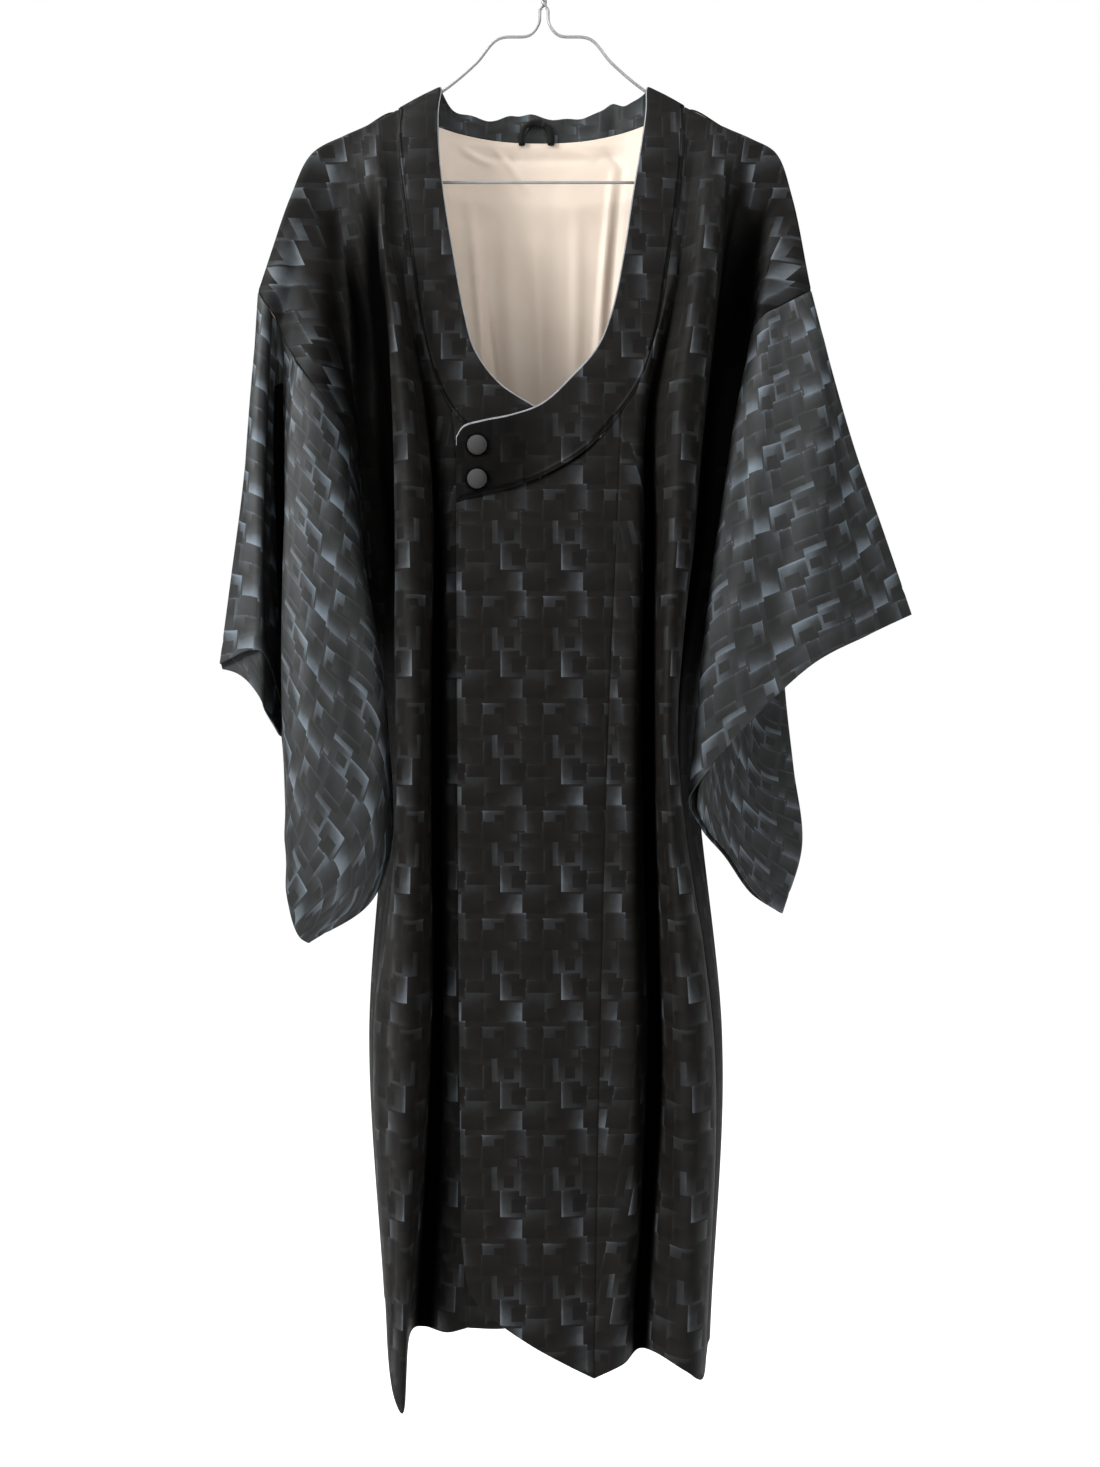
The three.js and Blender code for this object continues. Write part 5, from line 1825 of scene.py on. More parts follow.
@dataclass(frozen=True)
class WireHanger:
    """The hanger's hook, twisted neck, arms and lower bar, as round wire."""

    inner: float = 21.0
    hook_arc: float = 292.0
    stem: float = -52.0
    twist_bottom: float = -64.0
    turns: float = 1.5
    rise: tuple[tuple[float, float], ...] = (
        (3.2, -66), (4.6, -79), (13, -89.5), (41, -93), (61, -115)
    )
    strand_apart: float = 1.4
    hook_from: float = -62.0
    bar_end: float = 190.0
    sides: int = 16

    def piece(self, name: str, strands: list[np.ndarray], finish: Material) -> None:
        """Makes one piece of wire from its strands and stands it for its solid.

        Args:
            name: the node.
            strands: the middle lines.
            finish: the material.
        """
        points, quads, count = [], [], 0
        for strand in strands:
            some, faces = tube(strand, np.full(len(strand), WIRE / 2), self.sides)
            points.append(some)
            quads.append(faces + count)
            count += len(some)
        piece = mesh_object(name, np.concatenate(points), np.concatenate(quads), [finish])
        weld(piece)
        stands_for(piece, name)

    def hook(self) -> np.ndarray:
        """Middle line of the hook: a straight stem into an arc of 292 degrees.

        Returns:
            The points, from the neck to the hook's end.
        """
        radius = self.inner + WIRE / 2
        angle = np.radians(self.hook_from + self.hook_arc * np.linspace(0, 1, 81))
        arc = np.stack([radius * np.cos(angle), 0 * angle, -self.inner + radius * np.sin(angle)], axis=1)
        control = np.array([[0, 0, self.stem + 0.3], [1.2, 0, self.stem + 4], arc[0]])
        return np.concatenate([spline(control, np.linspace(0, 2, 16))[:-1], arc])

    def twist(self) -> list[np.ndarray]:
        """Middle lines of the two wires wound round each other."""
        share = np.linspace(0, 1, 49)
        angle = 2 * np.pi * self.turns * share
        z = self.stem + (self.twist_bottom - self.stem) * share
        return [np.stack([reach * np.cos(angle), reach * np.sin(angle), z], axis=1)
                for reach in (self.strand_apart, -self.strand_apart)]

    def arm(self, side: int) -> np.ndarray:
        """Middle line of an arm: down from the neck, along the shoulder and round to the bar.

        Args:
            side: 1 for the wearer's left, -1 for the right.

        Returns:
            The points, from the neck to the bar.
        """
        below, inset = RIDGE_RADIUS * 1.34, 5.0
        slope = np.array([NECK[0], 0, NECK[2] - below])
        tip = np.array([HANGER_TIP[0] - inset, 0, HANGER_TIP[2] + inset * 0.52 - below])
        straight = [slope + (tip - slope) * share for share in (0, 0.25, 0.5, 0.75, 0.94)]
        turn = [(tip[0] - 0.5, tip[2] - 4), (tip[0] - 1, tip[2] - 10), (tip[0] - 5, BAR_Z + 1.5),
                (self.bar_end + 5, BAR_Z), (self.bar_end + 0.3, BAR_Z)]
        start = [(1.8, self.twist_bottom - 1.2), *self.rise]
        bent, round_tip = ([(x, 0, z) for x, z in places] for places in (start, turn))
        control = np.array([*bent, *straight, *round_tip], float)
        return spline(control, np.linspace(0, len(control) - 1, 150)) * (side, 1, 1)

    def build(self, finishes: Finishes) -> None:
        """Makes the five pieces of the hanger."""
        along = np.linspace(-self.bar_end, self.bar_end, 39)
        bar = np.stack([along, 0 * along, 0 * along + BAR_Z], axis=1)
        for name, strands in (("hanger_hook", [self.hook()]), ("hanger_neck", self.twist()),
                              ("hanger_arm_left", [self.arm(1)]), ("hanger_arm_right", [self.arm(-1)]),
                              ("hanger_bar", [bar])):
            self.piece(name, strands, finishes.wire)


# ---------------------------------------------------------------- the coat

# In each FoldLine the six places are at LEVELS and the hem: x across, then y out of the coat.
LEFT_FRONT = (
    FoldLine("overlap seam", (107, 67, 63, 55, 48, 43),
             (-33, -45, -45, -46, -50, -54), -1264, along=37),
    FoldLine("flat end", (112, 84, 83, 80, 81, 67),
             (-34, -43, -44, -46, -50, -56), -1251, along=44),
    FoldLine("valley", (118, 92, 93, 93, 98, 82),
             (-31, -24, -6, 2, -8, -30), -1249, along=51),
    FoldLine("band inside", (123, 101, 99, 97, 106, 95),
             (-38, -38, -40, -44, -50, -52), -1242, along=58),
    FoldLine("band crest", (134, 118, 113, 105, 123, 119),
             (-50, -58, -62, -66, -70, -72), -1249, along=68),
    FoldLine("band outside", (149, 136, 127, 113, 143, 133),
             (-40, -44, -44, -46, -50, -60), -1262, along=82),
    FoldLine("deep fold inside", (161, 147, 138, 116, 151, 142),
             (-4, 0, 6, -2, -10, -20), -1258, along=104),
    FoldLine("deep fold floor", (179, 169, 155, 124, 157, 146),
             (6, 11, 16, 14, 12, 4), -1259, along=129),
    FoldLine("sleeve head fold", (196, 179, 167, 133, 161, 149),
             (-12, 10, 19, 26, 24, 16), -1260, along=172),
    FoldLine("side seam", (161, 140, 163, 151),
             (28, 37, 36, 28), -1260),
)
RIGHT_FRONT = (
    FoldLine("overlap seam", (-113, -80, -71, -70, -68, -66),
             (-31, -36, -36, -36, -36, -34), -1229, along=42),
    FoldLine("under end", (-118, -93, -85, -85, -84, -84),
             (-33, -35, -34, -33, -32, -29), -1235, along=47),
    FoldLine("valley", (-123, -101, -95, -96, -96, -106),
             (-34, -26, -12, -8, -8, -12), -1237, along=52),
    FoldLine("band inside", (-127, -106, -99, -100, -101, -116),
             (-40, -42, -44, -46, -50, -38), -1232, along=58),
    FoldLine("band crest", (-135, -117, -113, -110, -115, -119),
             (-54, -60, -62, -64, -68, -70), -1286, along=67),
    FoldLine("band outside", (-146, -132, -128, -122, -132, -128),
             (-42, -46, -47, -48, -54, -60), -1273, along=80),
    FoldLine("shadow edge", (-156, -146, -137, -125, -146, -135),
             (-20, -12, -10, -10, -28, -40), -1240, along=96),
    FoldLine("deep fold floor", (-172, -160, -149, -131, -152, -138),
             (4, 9, 12, 8, 2, -14), -1225, along=129),
    FoldLine("sleeve head fold", (-190, -170, -158, -138, -156, -142),
             (-2, 12, 17, 22, 19, 6), -1223, along=172),
    FoldLine("side seam", (-170, -147, -160, -145),
             (28, 35, 33, 22), -1222),
)
LEFT_BACK = (
    FoldLine("centre seam", (0, 0, 0, 0, 0, 0),
             (45, 47, 49, 52, 54, 50), -1240, top=(0, 41, -200)),
    FoldLine("centre swell", (42, 40, 38, 34, 36, 34),
             (49, 52, 55, 60, 64, 60), -1240, top=(46, 39, -199)),
    FoldLine("blade hollow", (78, 72, 66, 60, 64, 60),
             (40, 41, 40, 40, 40, 42), -1243, top=(86, 31, -193)),
    FoldLine("band inside", (104, 92, 84, 73, 84, 80),
             (43, 48, 50, 54, 56, 58), -1240, top=(113, 15, -179)),
    FoldLine("band crest", (122, 110, 101, 87, 101, 98),
             (48, 58, 64, 70, 76, 74), -1246, along=42),
    FoldLine("band outside", (141, 130, 119, 101, 120, 114),
             (42, 47, 50, 54, 56, 56), -1256, along=78),
    FoldLine("side hollow", (160, 150, 137, 116, 136, 128),
             (27, 31, 34, 38, 40, 40), -1258, along=100),
    FoldLine("side swell", (182, 173, 160, 132, 152, 142),
             (26, 32, 40, 52, 52, 46), -1262, along=129),
    FoldLine("side turn", (194, 184, 172, 141, 161, 149),
             (12, 26, 33, 48, 48, 40), -1262, along=172),
    FoldLine("side seam", (161, 140, 163, 151),
             (29, 38, 37, 29), -1260),
)
RIGHT_BACK = (
    FoldLine("centre seam", (0, 0, 0, 0, 0, 0),
             (45, 47, 49, 52, 54, 50), -1240, top=(0, 41, -200)),
    FoldLine("centre swell", (-44, -42, -41, -40, -38, -36),
             (48, 51, 53, 56, 58, 56), -1238, top=(-46, 39, -199)),
    FoldLine("blade hollow", (-80, -75, -71, -68, -66, -62),
             (40, 40, 39, 38, 38, 40), -1240, top=(-86, 31, -193)),
    FoldLine("band inside", (-105, -95, -90, -86, -85, -80),
             (44, 49, 52, 54, 54, 56), -1238, top=(-113, 15, -179)),
    FoldLine("band crest", (-121, -111, -103, -92, -101, -95),
             (50, 60, 65, 68, 72, 72), -1240, along=47),
    FoldLine("band outside", (-139, -129, -120, -105, -119, -111),
             (43, 46, 49, 53, 54, 55), -1246, along=78),
    FoldLine("side hollow", (-156, -146, -136, -119, -134, -124),
             (28, 31, 34, 38, 38, 38), -1238, along=100),
    FoldLine("side swell", (-174, -165, -154, -134, -149, -137),
             (26, 32, 38, 50, 50, 42), -1230, along=129),
    FoldLine("side turn", (-186, -175, -163, -143, -157, -143),
             (14, 26, 31, 47, 44, 34), -1226, along=172),
    FoldLine("side seam", (-170, -147, -160, -145),
             (29, 36, 34, 23), -1222),
)
LEFT_OVERLAP = (
    (-515, -1146, ((-75, -49), (-75, -49), (-74, -52), (-72, -55), (-70, -58))),  # free edge
    (-513, -1190, ((-69, -49), (-69, -49), (-68, -52), (-66, -55), (-62, -59))),  # round corner
    (-508, -1210, ((-51, -48), (-51, -49), (-51, -51), (-50, -56), (-44, -59))),  # corner end
    (-497, -1234, ((-12, -47), (-12, -48), (-14, -51), (-15, -56), (-9, -60))),  # middle
    (-473, -1252, ((34, -46), (31, -46), (26, -49), (21, -54), (22, -58))),  # inner
    (-435, -1264, ((67, -45), (63, -45), (55, -46), (48, -50), (43, -54))),  # seam
)
RIGHT_OVERLAP = (
    (-432, -1229, ((-80, -36), (-71, -36), (-70, -36), (-68, -36), (-66, -34))),  # seam
    (-468, -1231, ((-44, -36), (-42, -35), (-40, -35), (-38, -33), (-37, -31))),  # inner
    (-494, -1226, ((0, -34), (0, -33), (0, -33), (0, -30), (0, -30))),  # middle
    (-520, -1222, ((50, -31), (46, -30), (40, -30), (36, -28), (30, -28))),  # free edge
)
LEFT_COLLAR = (
    ((90, -160), (123, -176), -9),  # below shoulder
    ((86, -190), (121, -208), -17),  # collar bone
    ((78, -238), (115, -260), -27),  # upper chest
    ((69, -297), (107, -312), -33),  # chest
    ((59, -346), (98, -366), -38),  # curve start
    ((46, -379), (84, -408), -42),  # curve
    ((25, -404), (67, -435), -45),  # curve end
    ((-2, -429), (41, -465), -47),  # centre
    ((-29, -439), (12, -485), -48),  # past centre
    ((-53, -444), (-20, -500), -49),  # tab
    ((-69, -449), (-55, -509), -49),  # tab corner
    ((-75, -458), (-75, -514), -49),  # tab end
)
RIGHT_COLLAR = (
    ((-93, -160), (-129, -177), -9),  # below shoulder
    ((-92, -199), (-126, -210), -17),  # collar bone
    ((-86, -250), (-119, -261), -26),  # upper chest
    ((-79, -292), (-113, -312), -31),  # chest
    ((-69, -347), (-105, -363), -34),  # curve start
    ((-60, -379), (-95, -401), -35),  # curve
    ((-39, -408), (-80, -432), -36),  # curve end
    ((-9, -428), (-44, -466), -36),  # under the band
    ((22, -445), (0, -492), -34),  # under the panel
    ((60, -460), (50, -517), -31),  # end
)
BACK_COLLAR = (
    ((-82, 20, -146), (-113, 15, -177)),  # right quarter
    ((-48, 32, -150), (-80, 33, -192)),  # right
    ((-16, 36, -147), (-28, 40, -198)),  # right of centre
    ((24, 35, -148), (28, 40, -198)),  # left of centre
    ((58, 27, -144), (80, 33, -192)),  # left
    ((82, 15, -141), (113, 15, -177)),  # left quarter
)
LINING = (
    (-99, -164, (15.4, 14, 26, 30)),  # right edge
    (-76, -167, (26.1, 27, 33, 35)),  # right
    (-44, -170, (34, 34, 40, 43)),  # right centre
    (-6, -171, (36.7, 37, 39, 42)),  # centre
    (36, -170, (34.4, 35, 41, 44)),  # left centre
    (72, -166, (26.4, 27, 34, 36)),  # left
    (97, -162, (14.3, 14, 26, 30)),  # left edge
)
LEFT_SLEEVE = (
    SleeveLine("top fold", 3.5, (
        (237, 0, -318), (255, 0, -388), (276, 0, -460), (301, 0, -531), (327, 0, -607))),
    SleeveLine("outer", 7, (
        (220, -10, -330), (233, -16, -406), (245, -20, -486), (260, -22, -571), (280, -20, -628))),
    SleeveLine("middle", 6.5, (
        (204, -17, -341), (204, -26, -420), (205, -32, -508), (207, -36, -601), (226, -36, -657))),
    SleeveLine("front fold", 4, (
        (190, -16, -356), (173, -28, -438), (158, -37, -536), (142, -42, -652), (130, -42, -766))),
    SleeveLine("turn back", 3, (
        (186, 3, -430), (174, -8, -520), (160, -16, -620), (148, -20, -722), (141, -16, -796))),
    SleeveLine("underarm", 3.5, (
        (181, 18, -532), (177, 12, -612), (170, 8, -697), (163, 8, -768), (164, 12, -822))),
    SleeveLine("tail", 5, (
        (202, 36, -584), (196, 35, -677), (195, 32, -746), (199, 30, -805), (192, 28, -860))),
    SleeveLine("bottom fold", 3.5, (
        (218, 54, -620), (223, 50, -682), (230, 48, -745), (237, 42, -816), (218, 36, -878))),
)
RIGHT_SLEEVE = (
    SleeveLine("top fold", 3, (
        (-253, 0, -318), (-258, 0, -402), (-266, 0, -487), (-277, 0, -569), (-288, 0, -651))),
    SleeveLine("strip edge", 2.6, (
        (-245, -7, -334), (-248, -14, -416), (-248, -20, -500), (-247, -24, -575), (-247, -24, -641))),
    SleeveLine("valley", 1.7, (
        (-236, 0, -350), (-237, 8, -437), (-237, 15, -524), (-237, 20, -613), (-238, 22, -704))),
    SleeveLine("crest", 2.4, (
        (-222, -12, -378), (-225, -24, -475), (-224, -32, -567), (-223, -36, -668), (-222, -34, -775))),
    SleeveLine("front panel", 6, (
        (-200, -20, -412), (-196, -34, -520), (-188, -42, -632), (-191, -44, -746), (-221, -38, -845))),
    SleeveLine("panel fold", 4, (
        (-178, -10, -450), (-165, -28, -551), (-148, -38, -672), (-158, -42, -806), (-216, -38, -878))),
    SleeveLine("underarm", 4, (
        (-170, 18, -530), (-162, -4, -640), (-138, -28, -742), (-149, -36, -838), (-211, -36, -889))),
    SleeveLine("bottom fold", 3.5, (
        (-186, 34, -620), (-162, 8, -722), (-136, -22, -783), (-150, -32, -857), (-204, -34, -894))),
)

LEFT_FRONT_FOLDS = creases(
    ((181, -228), (155, -632), 13, -14.0),
    ((203, -237), (181, -450), 8, 6.0, 2),
    ((92, -441), (83, -1144), 9, -4.0),
    ((122, -450), (115, -1100), 9, 2.6, 2),
    ((83, -233), (77, -441), 5, -2.0),
    ((136, -207), (127, -441), 7, 1.5, 2),
    ((115, -224), (104, -363), 3, -1.2),
    ((155, -198), (142, -337), 6, 1.6),
    ((166, -193), (160, -302), 4, -1.8),
    ((105, -450), (96, -857), 4, 1.2, 3),
    ((127, -562), (115, -927), 6, -1.5, 3),
    ((136, -823), (127, -1118), 5, 1.3),
    ((83, -857), (77, -1161), 6, 1.4, -3),
    ((96, -927), (108, -1239), 7, -1.6, 4),
    ((59, -528), (54, -823), 4, 1.0),
    ((118, -1014), (136, -1231), 5, 1.2, -3),
    ((68, -1100), (83, -1239), 5, -1.0),
    ((175, -215), (169, -363), 5, 1.4, 2),
    ((108, -285), (115, -337), 2.5, 0.9),
    ((130, -363), (122, -399), 2.5, -0.8, 1),
)
RIGHT_FRONT_FOLDS = creases(
    ((-153, -231), (-143, -631), 13, -13.0),
    ((-178, -226), (-167, -509), 8, 5.5, -2),
    ((-88, -457), (-90, -1154), 6, -3.0),
    ((-118, -335), (-120, -1102), 9, 2.4),
    ((-125, -196), (-129, -440), 5, 1.8, 2),
    ((-139, -217), (-148, -361), 4, 2.2),
    ((-155, -231), (-162, -422), 4, -1.5),
    ((-115, -265), (-117, -527), 5, -1.2, 2),
    ((-104, -448), (-108, -771), 4, 1.2),
    ((-122, -492), (-124, -823), 6, 1.4, -2),
    ((-94, -527), (-96, -858), 4, -1.4),
    ((-115, -858), (-118, -1119), 5, 1.3),
    ((-99, -945), (-94, -1198), 5, -1.2, 2),
    ((-132, -858), (-138, -1102), 5, -1.1),
    ((-148, -858), (-139, -1154), 5, 1.2),
    ((-127, -1076), (-129, -1276), 3, -1.4),
    ((-169, -204), (-176, -300), 5, 1.2),
    ((-129, -335), (-124, -374), 2.5, 1.1, 1),
    ((-113, -361), (-104, -398), 2, 0.8),
)
LEFT_OVERLAP_FOLDS = creases(
    ((-55, -564), (-50, -856), 10, 0.7),
    ((14, -546), (7, -942), 12, -0.8, 4),
    ((-20, -856), (-27, -1200), 11, 0.8),
    ((35, -684), (29, -1028), 5, 0.8),
    ((-63, -899), (-58, -1175), 7, -0.7),
    ((14, -1011), (19, -1235), 8, 1.1, -3),
    ((-38, -1097), (-12, -1226), 7, -0.8),
    ((40, -1028), (27, -1252), 6, -1.0),
    ((1, -1054), (31, -1132), 4, 0.7, 2),
    ((-38, -615), (14, -632), 9, 0.4),
)
RIGHT_OVERLAP_FOLDS = creases(
    ((-64, -511), (-55, -857), 8, 0.8, 2),
    ((-90, -615), (-93, -909), 5, -0.9),
    ((-86, -926), (-81, -1203), 5, 1.0, -2),
    ((-38, -736), (-45, -1151), 9, -0.8, 3),
    ((-100, -822), (-97, -1099), 4, 0.9),
)
RIGHT_SLEEVE_FOLDS = creases(
    ((-228, -221), (-239, -683), 9, -10.0),
    ((-223, -356), (-228, -683), 4, 2.4),
    ((-253, -329), (-269, -630), 6, 2.0),
    ((-216, -240), (-223, -524), 7, 2.2, 3),
    ((-200, -205), (-189, -435), 8, -2.0, -4),
    ((-181, -294), (-176, -524), 6, 1.8),
    ((-211, -488), (-200, -860), 9, 2.0, 5),
    ((-176, -595), (-152, -772), 7, -1.8),
    ((-220, -612), (-216, -843), 5, -1.2),
    ((-189, -683), (-182, -860), 8, 1.4, -3),
    ((-225, -329), (-227, -435), 3, -1.2),
    ((-250, -329), (-260, -559), 5, 1.6),
    ((-189, -480), (-170, -630), 6, 1.4, 2),
)
LEFT_SLEEVE_FOLDS = creases(
    ((232, -320), (243, -666), 26, 9.0),
    ((271, -564), (298, -593), 3, 1.6),
    ((250, -630), (307, -604), 6, 1.2, 2),
    ((202, -329), (149, -683), 7, 4.0, 6),
    ((237, -329), (253, -630), 8, 2.2, -4),
    ((271, -418), (227, -648), 12, -3.0, 4),
    ((200, -240), (178, -488), 8, 2.5, 4),
    ((214, -329), (169, -612), 9, -2.2, -6),
    ((227, -356), (218, -630), 10, 2.4, 6),
    ((253, -400), (280, -595), 7, -1.6),
    ((191, -435), (152, -719), 8, 1.8, 4),
    ((271, -559), (301, -595), 4, -1.4, 1),
    ((260, -595), (298, -614), 3, 1.2),
    ((209, -524), (183, -701), 8, -2.0, 3),
    ((240, -506), (231, -648), 7, 1.8),
    ((174, -595), (143, -754), 6, -1.5),
    ((289, -524), (315, -586), 5, 1.2),
    ((252, -480), (237, -559), 5, -1.2, 2),
    ((178, -701), (218, -843), 9, 1.4, 4),
    ((152, -763), (200, -860), 6, -1.2),
)
LEFT_BACK_FOLDS = creases(
    ((60, -230), (52, -520), 8, -2.0, 3),
    ((110, -240), (104, -620), 9, 2.2, 4),
    ((30, -330), (36, -760), 7, 1.6, -3),
    ((84, -520), (74, -980), 8, -2.2),
    ((130, -560), (118, -940), 7, 1.8, 3),
    ((50, -820), (58, -1220), 9, 1.8, -4),
    ((100, -900), (108, -1230), 6, -1.6),
    ((18, -620), (16, -1100), 5, -1.4),
    ((150, -300), (140, -500), 6, -1.6, 2),
    ((70, -1020), (64, -1230), 5, 1.2),
)
RIGHT_BACK_FOLDS = creases(
    ((-56, -220), (-60, -560), 8, 1.9, -3),
    ((-104, -230), (-98, -640), 7, -2.1, 2),
    ((-28, -360), (-22, -820), 8, -1.7, 3),
    ((-80, -500), (-88, -960), 7, 2.1),
    ((-128, -600), (-120, -1000), 6, -1.5, 3),
    ((-44, -860), (-36, -1210), 8, -1.6, 3),
    ((-96, -930), (-90, -1220), 7, 1.7),
    ((-14, -700), (-18, -1150), 6, 1.3),
    ((-146, -290), (-150, -480), 6, 1.5),
)
LEFT_SLEEVE_BACK_FOLDS = creases(
    ((190, -240), (170, -560), 9, 2.2, 4),
    ((225, -280), (215, -640), 8, -2.0, -3),
    ((255, -330), (285, -560), 7, 1.6),
    ((180, -520), (150, -760), 8, -1.8, 3),
    ((210, -600), (215, -820), 7, 1.5),
    ((280, -480), (300, -590), 5, -1.2),
)
RIGHT_SLEEVE_BACK_FOLDS = creases(
    ((-190, -230), (-196, -540), 8, -2.0, 3),
    ((-215, -260), (-210, -620), 9, 2.0, -4),
    ((-235, -300), (-250, -560), 6, -1.5),
    ((-180, -520), (-170, -800), 8, 1.7, 3),
    ((-205, -620), (-214, -860), 7, -1.4),
    ((-246, -420), (-262, -600), 5, 1.2),
)


@dataclass
class Coat:
    """The whole coat: two halves, the bands, the lining and the small pieces."""

    finishes: Finishes
    left_sleeve: Sleeve = Sleeve(
        "sleeve_left", LEFT_SLEEVE, LEFT_SLEEVE_FOLDS, LEFT_SLEEVE_BACK_FOLDS, (0.42, 0.44)
    )
    right_sleeve: Sleeve = Sleeve(
        "sleeve_right", RIGHT_SLEEVE, RIGHT_SLEEVE_FOLDS, RIGHT_SLEEVE_BACK_FOLDS, (0.42, 0.44),
        longer_by=46.0,
    )
    left_band: NeckBand = NeckBand(
        "collar_left", LEFT_COLLAR, 37.0, (0.056, 0.49), highlight_end_rows=2, button_places=BUTTON_PLACES
    )
    right_band: NeckBand = NeckBand("collar_right", RIGHT_COLLAR, 42.0, (0.056, 0.43))
    panels: tuple[Panel, ...] = (
        Panel("front_left", Layer.FRONT, LEFT_FRONT, LEFT_FRONT_FOLDS, (0.21, 1.14)),
        Panel("back_left", Layer.BACK, LEFT_BACK, LEFT_BACK_FOLDS, (0.21, 1.11)),
        Panel("front_right", Layer.FRONT, RIGHT_FRONT, RIGHT_FRONT_FOLDS, (0.19, 1.12)),
        Panel("back_right", Layer.BACK, RIGHT_BACK, RIGHT_BACK_FOLDS, (0.21, 1.09)),
    )
    overlaps: tuple[Overlap, ...] = (
        Overlap("overlap_left", LEFT_OVERLAP, True, (0.125, 0.82), LEFT_OVERLAP_FOLDS),
        Overlap("overlap_right", RIGHT_OVERLAP, False, (0.115, 0.79), RIGHT_OVERLAP_FOLDS),
    )

    def build(self) -> None:
        """Makes every piece of the coat, from the sleeves inwards."""
        sleeves = {1: self.left_sleeve, -1: self.right_sleeve}
        bands = {1: self.left_band, -1: self.right_band}
        shoulders = {side: Shoulder(side, sleeve.lines[0].at[0], sleeve.lines[0].gap)
                     for side, sleeve in sleeves.items()}
        for sleeve in sleeves.values():
            sleeve.build(self.finishes)
        for side, (front, back) in ((1, self.panels[:2]), (-1, self.panels[2:])):
            before = front.grid(shoulders[side], sleeves[side], bands[side])
            behind = back.grid(shoulders[side], sleeves[side], None)
            seam = (before[:, -1] + behind[:, -1]) / 2
            front.build(front.drawn_to(before, seam), self.finishes)
            back.build(back.drawn_to(behind, seam), self.finishes)
        for overlap in self.overlaps:
            overlap.build(self.finishes)
        for side, band in bands.items():
            band.build(shoulders[side], self.finishes)
        back_band = BackBand(BACK_COLLAR, (self.right_band.width, self.left_band.width))
        back_band.build(shoulders[-1], shoulders[1], self.finishes)
        BackLining(LINING).build(self.finishes)
        HangingLoop().build(self.finishes)
        for name, place in zip(("button_upper", "button_lower"), BUTTON_PLACES):
            CoveredButton(name, place).build(self.finishes)
        WireHanger().build(self.finishes)


# ---------------------------------------------------------------- studio


@dataclass(frozen=True)
class Lamp:
    """A soft lamp: its kind, place and aim in metres, its size and its power."""

    name: str
    kind: str
    place: tuple[float, float, float]
    aim: tuple[float, float, float]
    size: float
    power: float


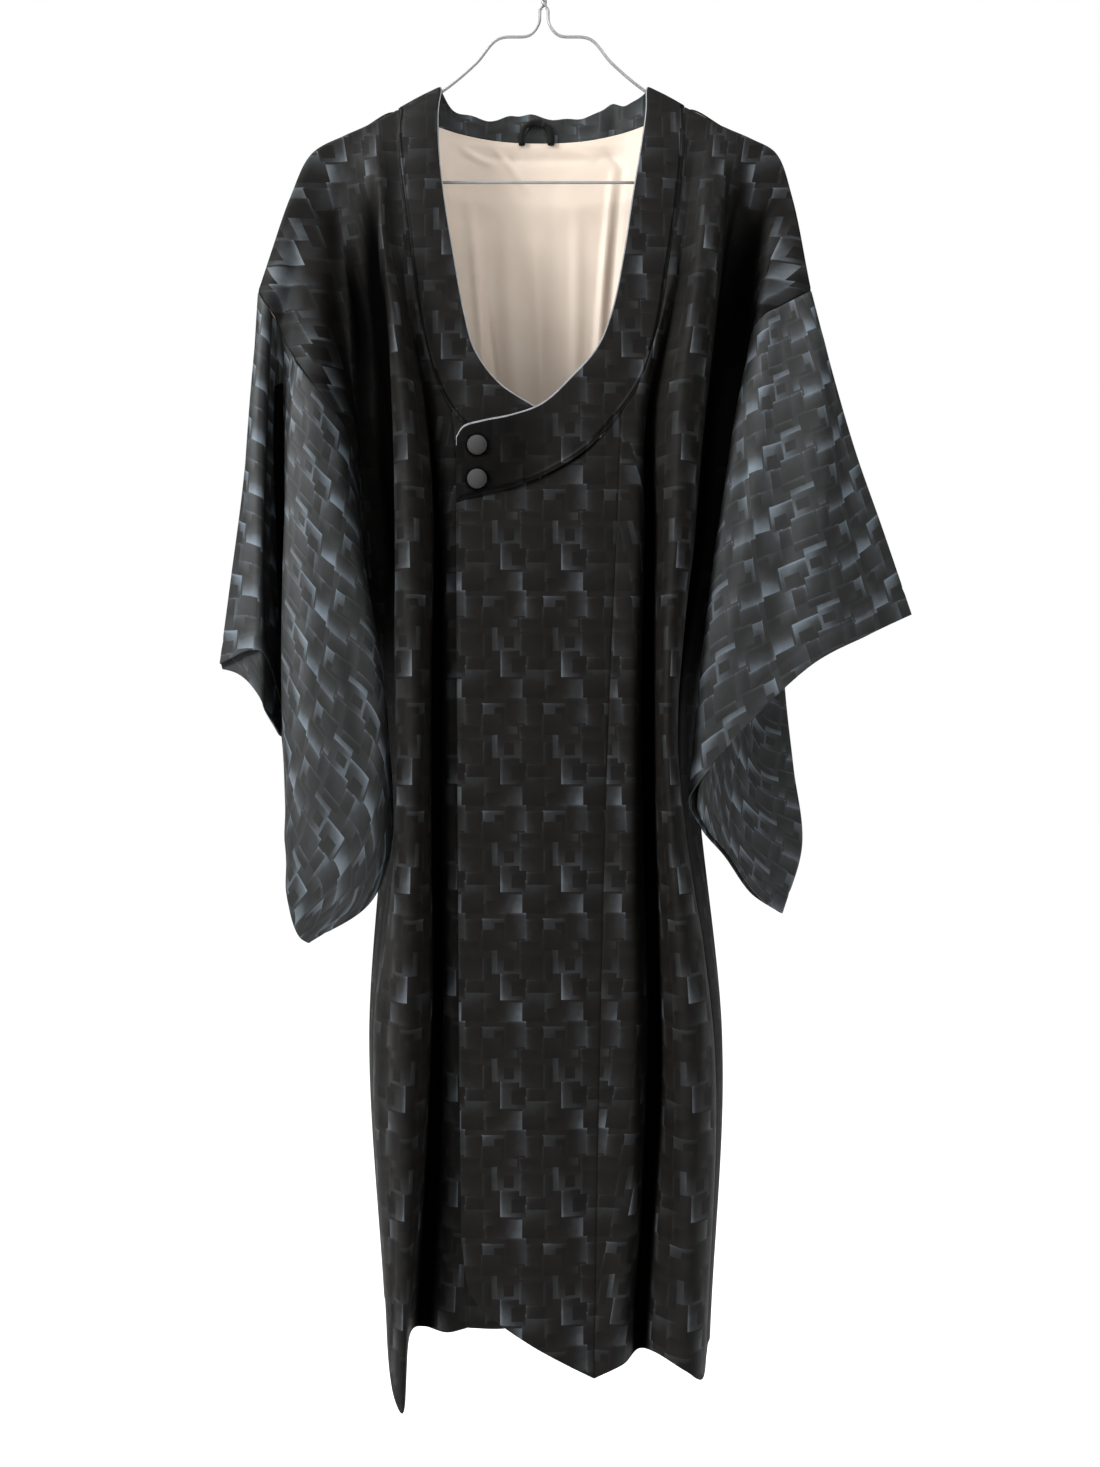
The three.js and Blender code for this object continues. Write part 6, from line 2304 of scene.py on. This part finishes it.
@dataclass(frozen=True)
class Studio:
    """Pale floor, soft light from above and in front, and the camera."""

    floor_z: float = -1.62
    floor_radius: float = 14.0
    floor_sides: int = 96
    room_light: float = 0.07
    lamps: tuple[Lamp, ...] = (
        Lamp("overhead", "SUN", (-1.5, -0.4, 2.8), (0.0, 0.0, 0.0), 0.8, 3.9),
        Lamp("key", "AREA", (-2.3, -1.5, 0.6), (0.0, 0.0, -0.55), 0.95, 105.0),
        Lamp("fill", "AREA", (0.7, -2.4, 0.9), (0.0, 0.0, -0.5), 1.2, 21.0),
        Lamp("top_right", "AREA", (1.5, -0.7, 1.5), (0.2, 0.0, -0.35), 0.7, 30.0),
    )
    camera_place: tuple[float, float, float] = (0.00536, -1.25, -0.7129)
    focal: float = 1400.0
    frame_height: float = 1467.0

    def floor(self) -> None:
        """A wide pale disc, marked as no part of the coat."""
        angle = 2 * np.pi * np.arange(self.floor_sides) / self.floor_sides
        points = np.stack([np.cos(angle) * self.floor_radius, np.sin(angle) * self.floor_radius,
                           0 * angle + self.floor_z], axis=1)
        mesh = bpy.data.meshes.new("floor")
        mesh.from_pydata(points.tolist(), [], [list(range(self.floor_sides))])
        material, _, shader = surface("pale_floor")
        shader.inputs["Base Color"].default_value = (0.9, 0.9, 0.9, 1)
        shader.inputs["Roughness"].default_value = 0.9
        shader.inputs["Specular IOR Level"].default_value = 0.1
        mesh.materials.append(material)
        piece = bpy.data.objects.new("floor", mesh)
        bpy.context.scene.collection.objects.link(piece)

    def lamp(self, lamp: Lamp) -> None:
        """Hangs one lamp, turned towards its aim.

        Args:
            lamp: the lamp.
        """
        data = bpy.data.lights.new(lamp.name, lamp.kind)
        data.energy = lamp.power
        if lamp.kind == "SUN":
            data.angle = lamp.size
        else:
            data.size = lamp.size
        piece = bpy.data.objects.new(lamp.name, data)
        piece.location = lamp.place
        way = np.subtract(lamp.aim, lamp.place)
        tilt = math.atan2(math.hypot(way[0], way[1]), -way[2])
        piece.rotation_euler = (tilt, 0.0, math.atan2(way[1], way[0]) - math.pi / 2)
        bpy.context.scene.collection.objects.link(piece)

    def surroundings(self) -> None:
        """A pale room: white where it is seen, and dimmer as a light."""
        world = bpy.data.worlds.new("studio")
        world.use_nodes = True
        tree = world.node_tree
        seen = tree.nodes.new("ShaderNodeLightPath").outputs["Is Camera Ray"]
        strength = scalar(tree, "MULTIPLY_ADD", seen, 1.0 - self.room_light, self.room_light)
        node = tree.nodes["Background"]
        node.inputs[0].default_value = (1.0, 1.0, 1.0, 1)
        link(tree, strength, node.inputs[1])
        bpy.context.scene.world = world

    def build(self) -> None:
        """Makes the floor, the surroundings, the lamps and the camera."""
        bpy.context.scene.view_settings.view_transform = "Standard"
        self.floor()
        self.surroundings()
        for lamp in self.lamps:
            self.lamp(lamp)
        data = bpy.data.cameras.new("camera")
        data.sensor_fit = "VERTICAL"
        data.angle = 2 * math.atan(self.frame_height / 2 / self.focal)
        camera = bpy.data.objects.new("camera", data)
        camera.location = self.camera_place
        camera.rotation_euler = (math.pi / 2, 0.0, 0.0)
        bpy.context.scene.collection.objects.link(camera)
        bpy.context.scene.camera = camera


def main() -> None:
    """Loads the frame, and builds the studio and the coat."""
    logging.basicConfig(level=logging.INFO, format="%(name)s: %(message)s")
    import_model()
    Studio().build()
    Coat(Finishes()).build()


if __name__ == "__main__":
    main()
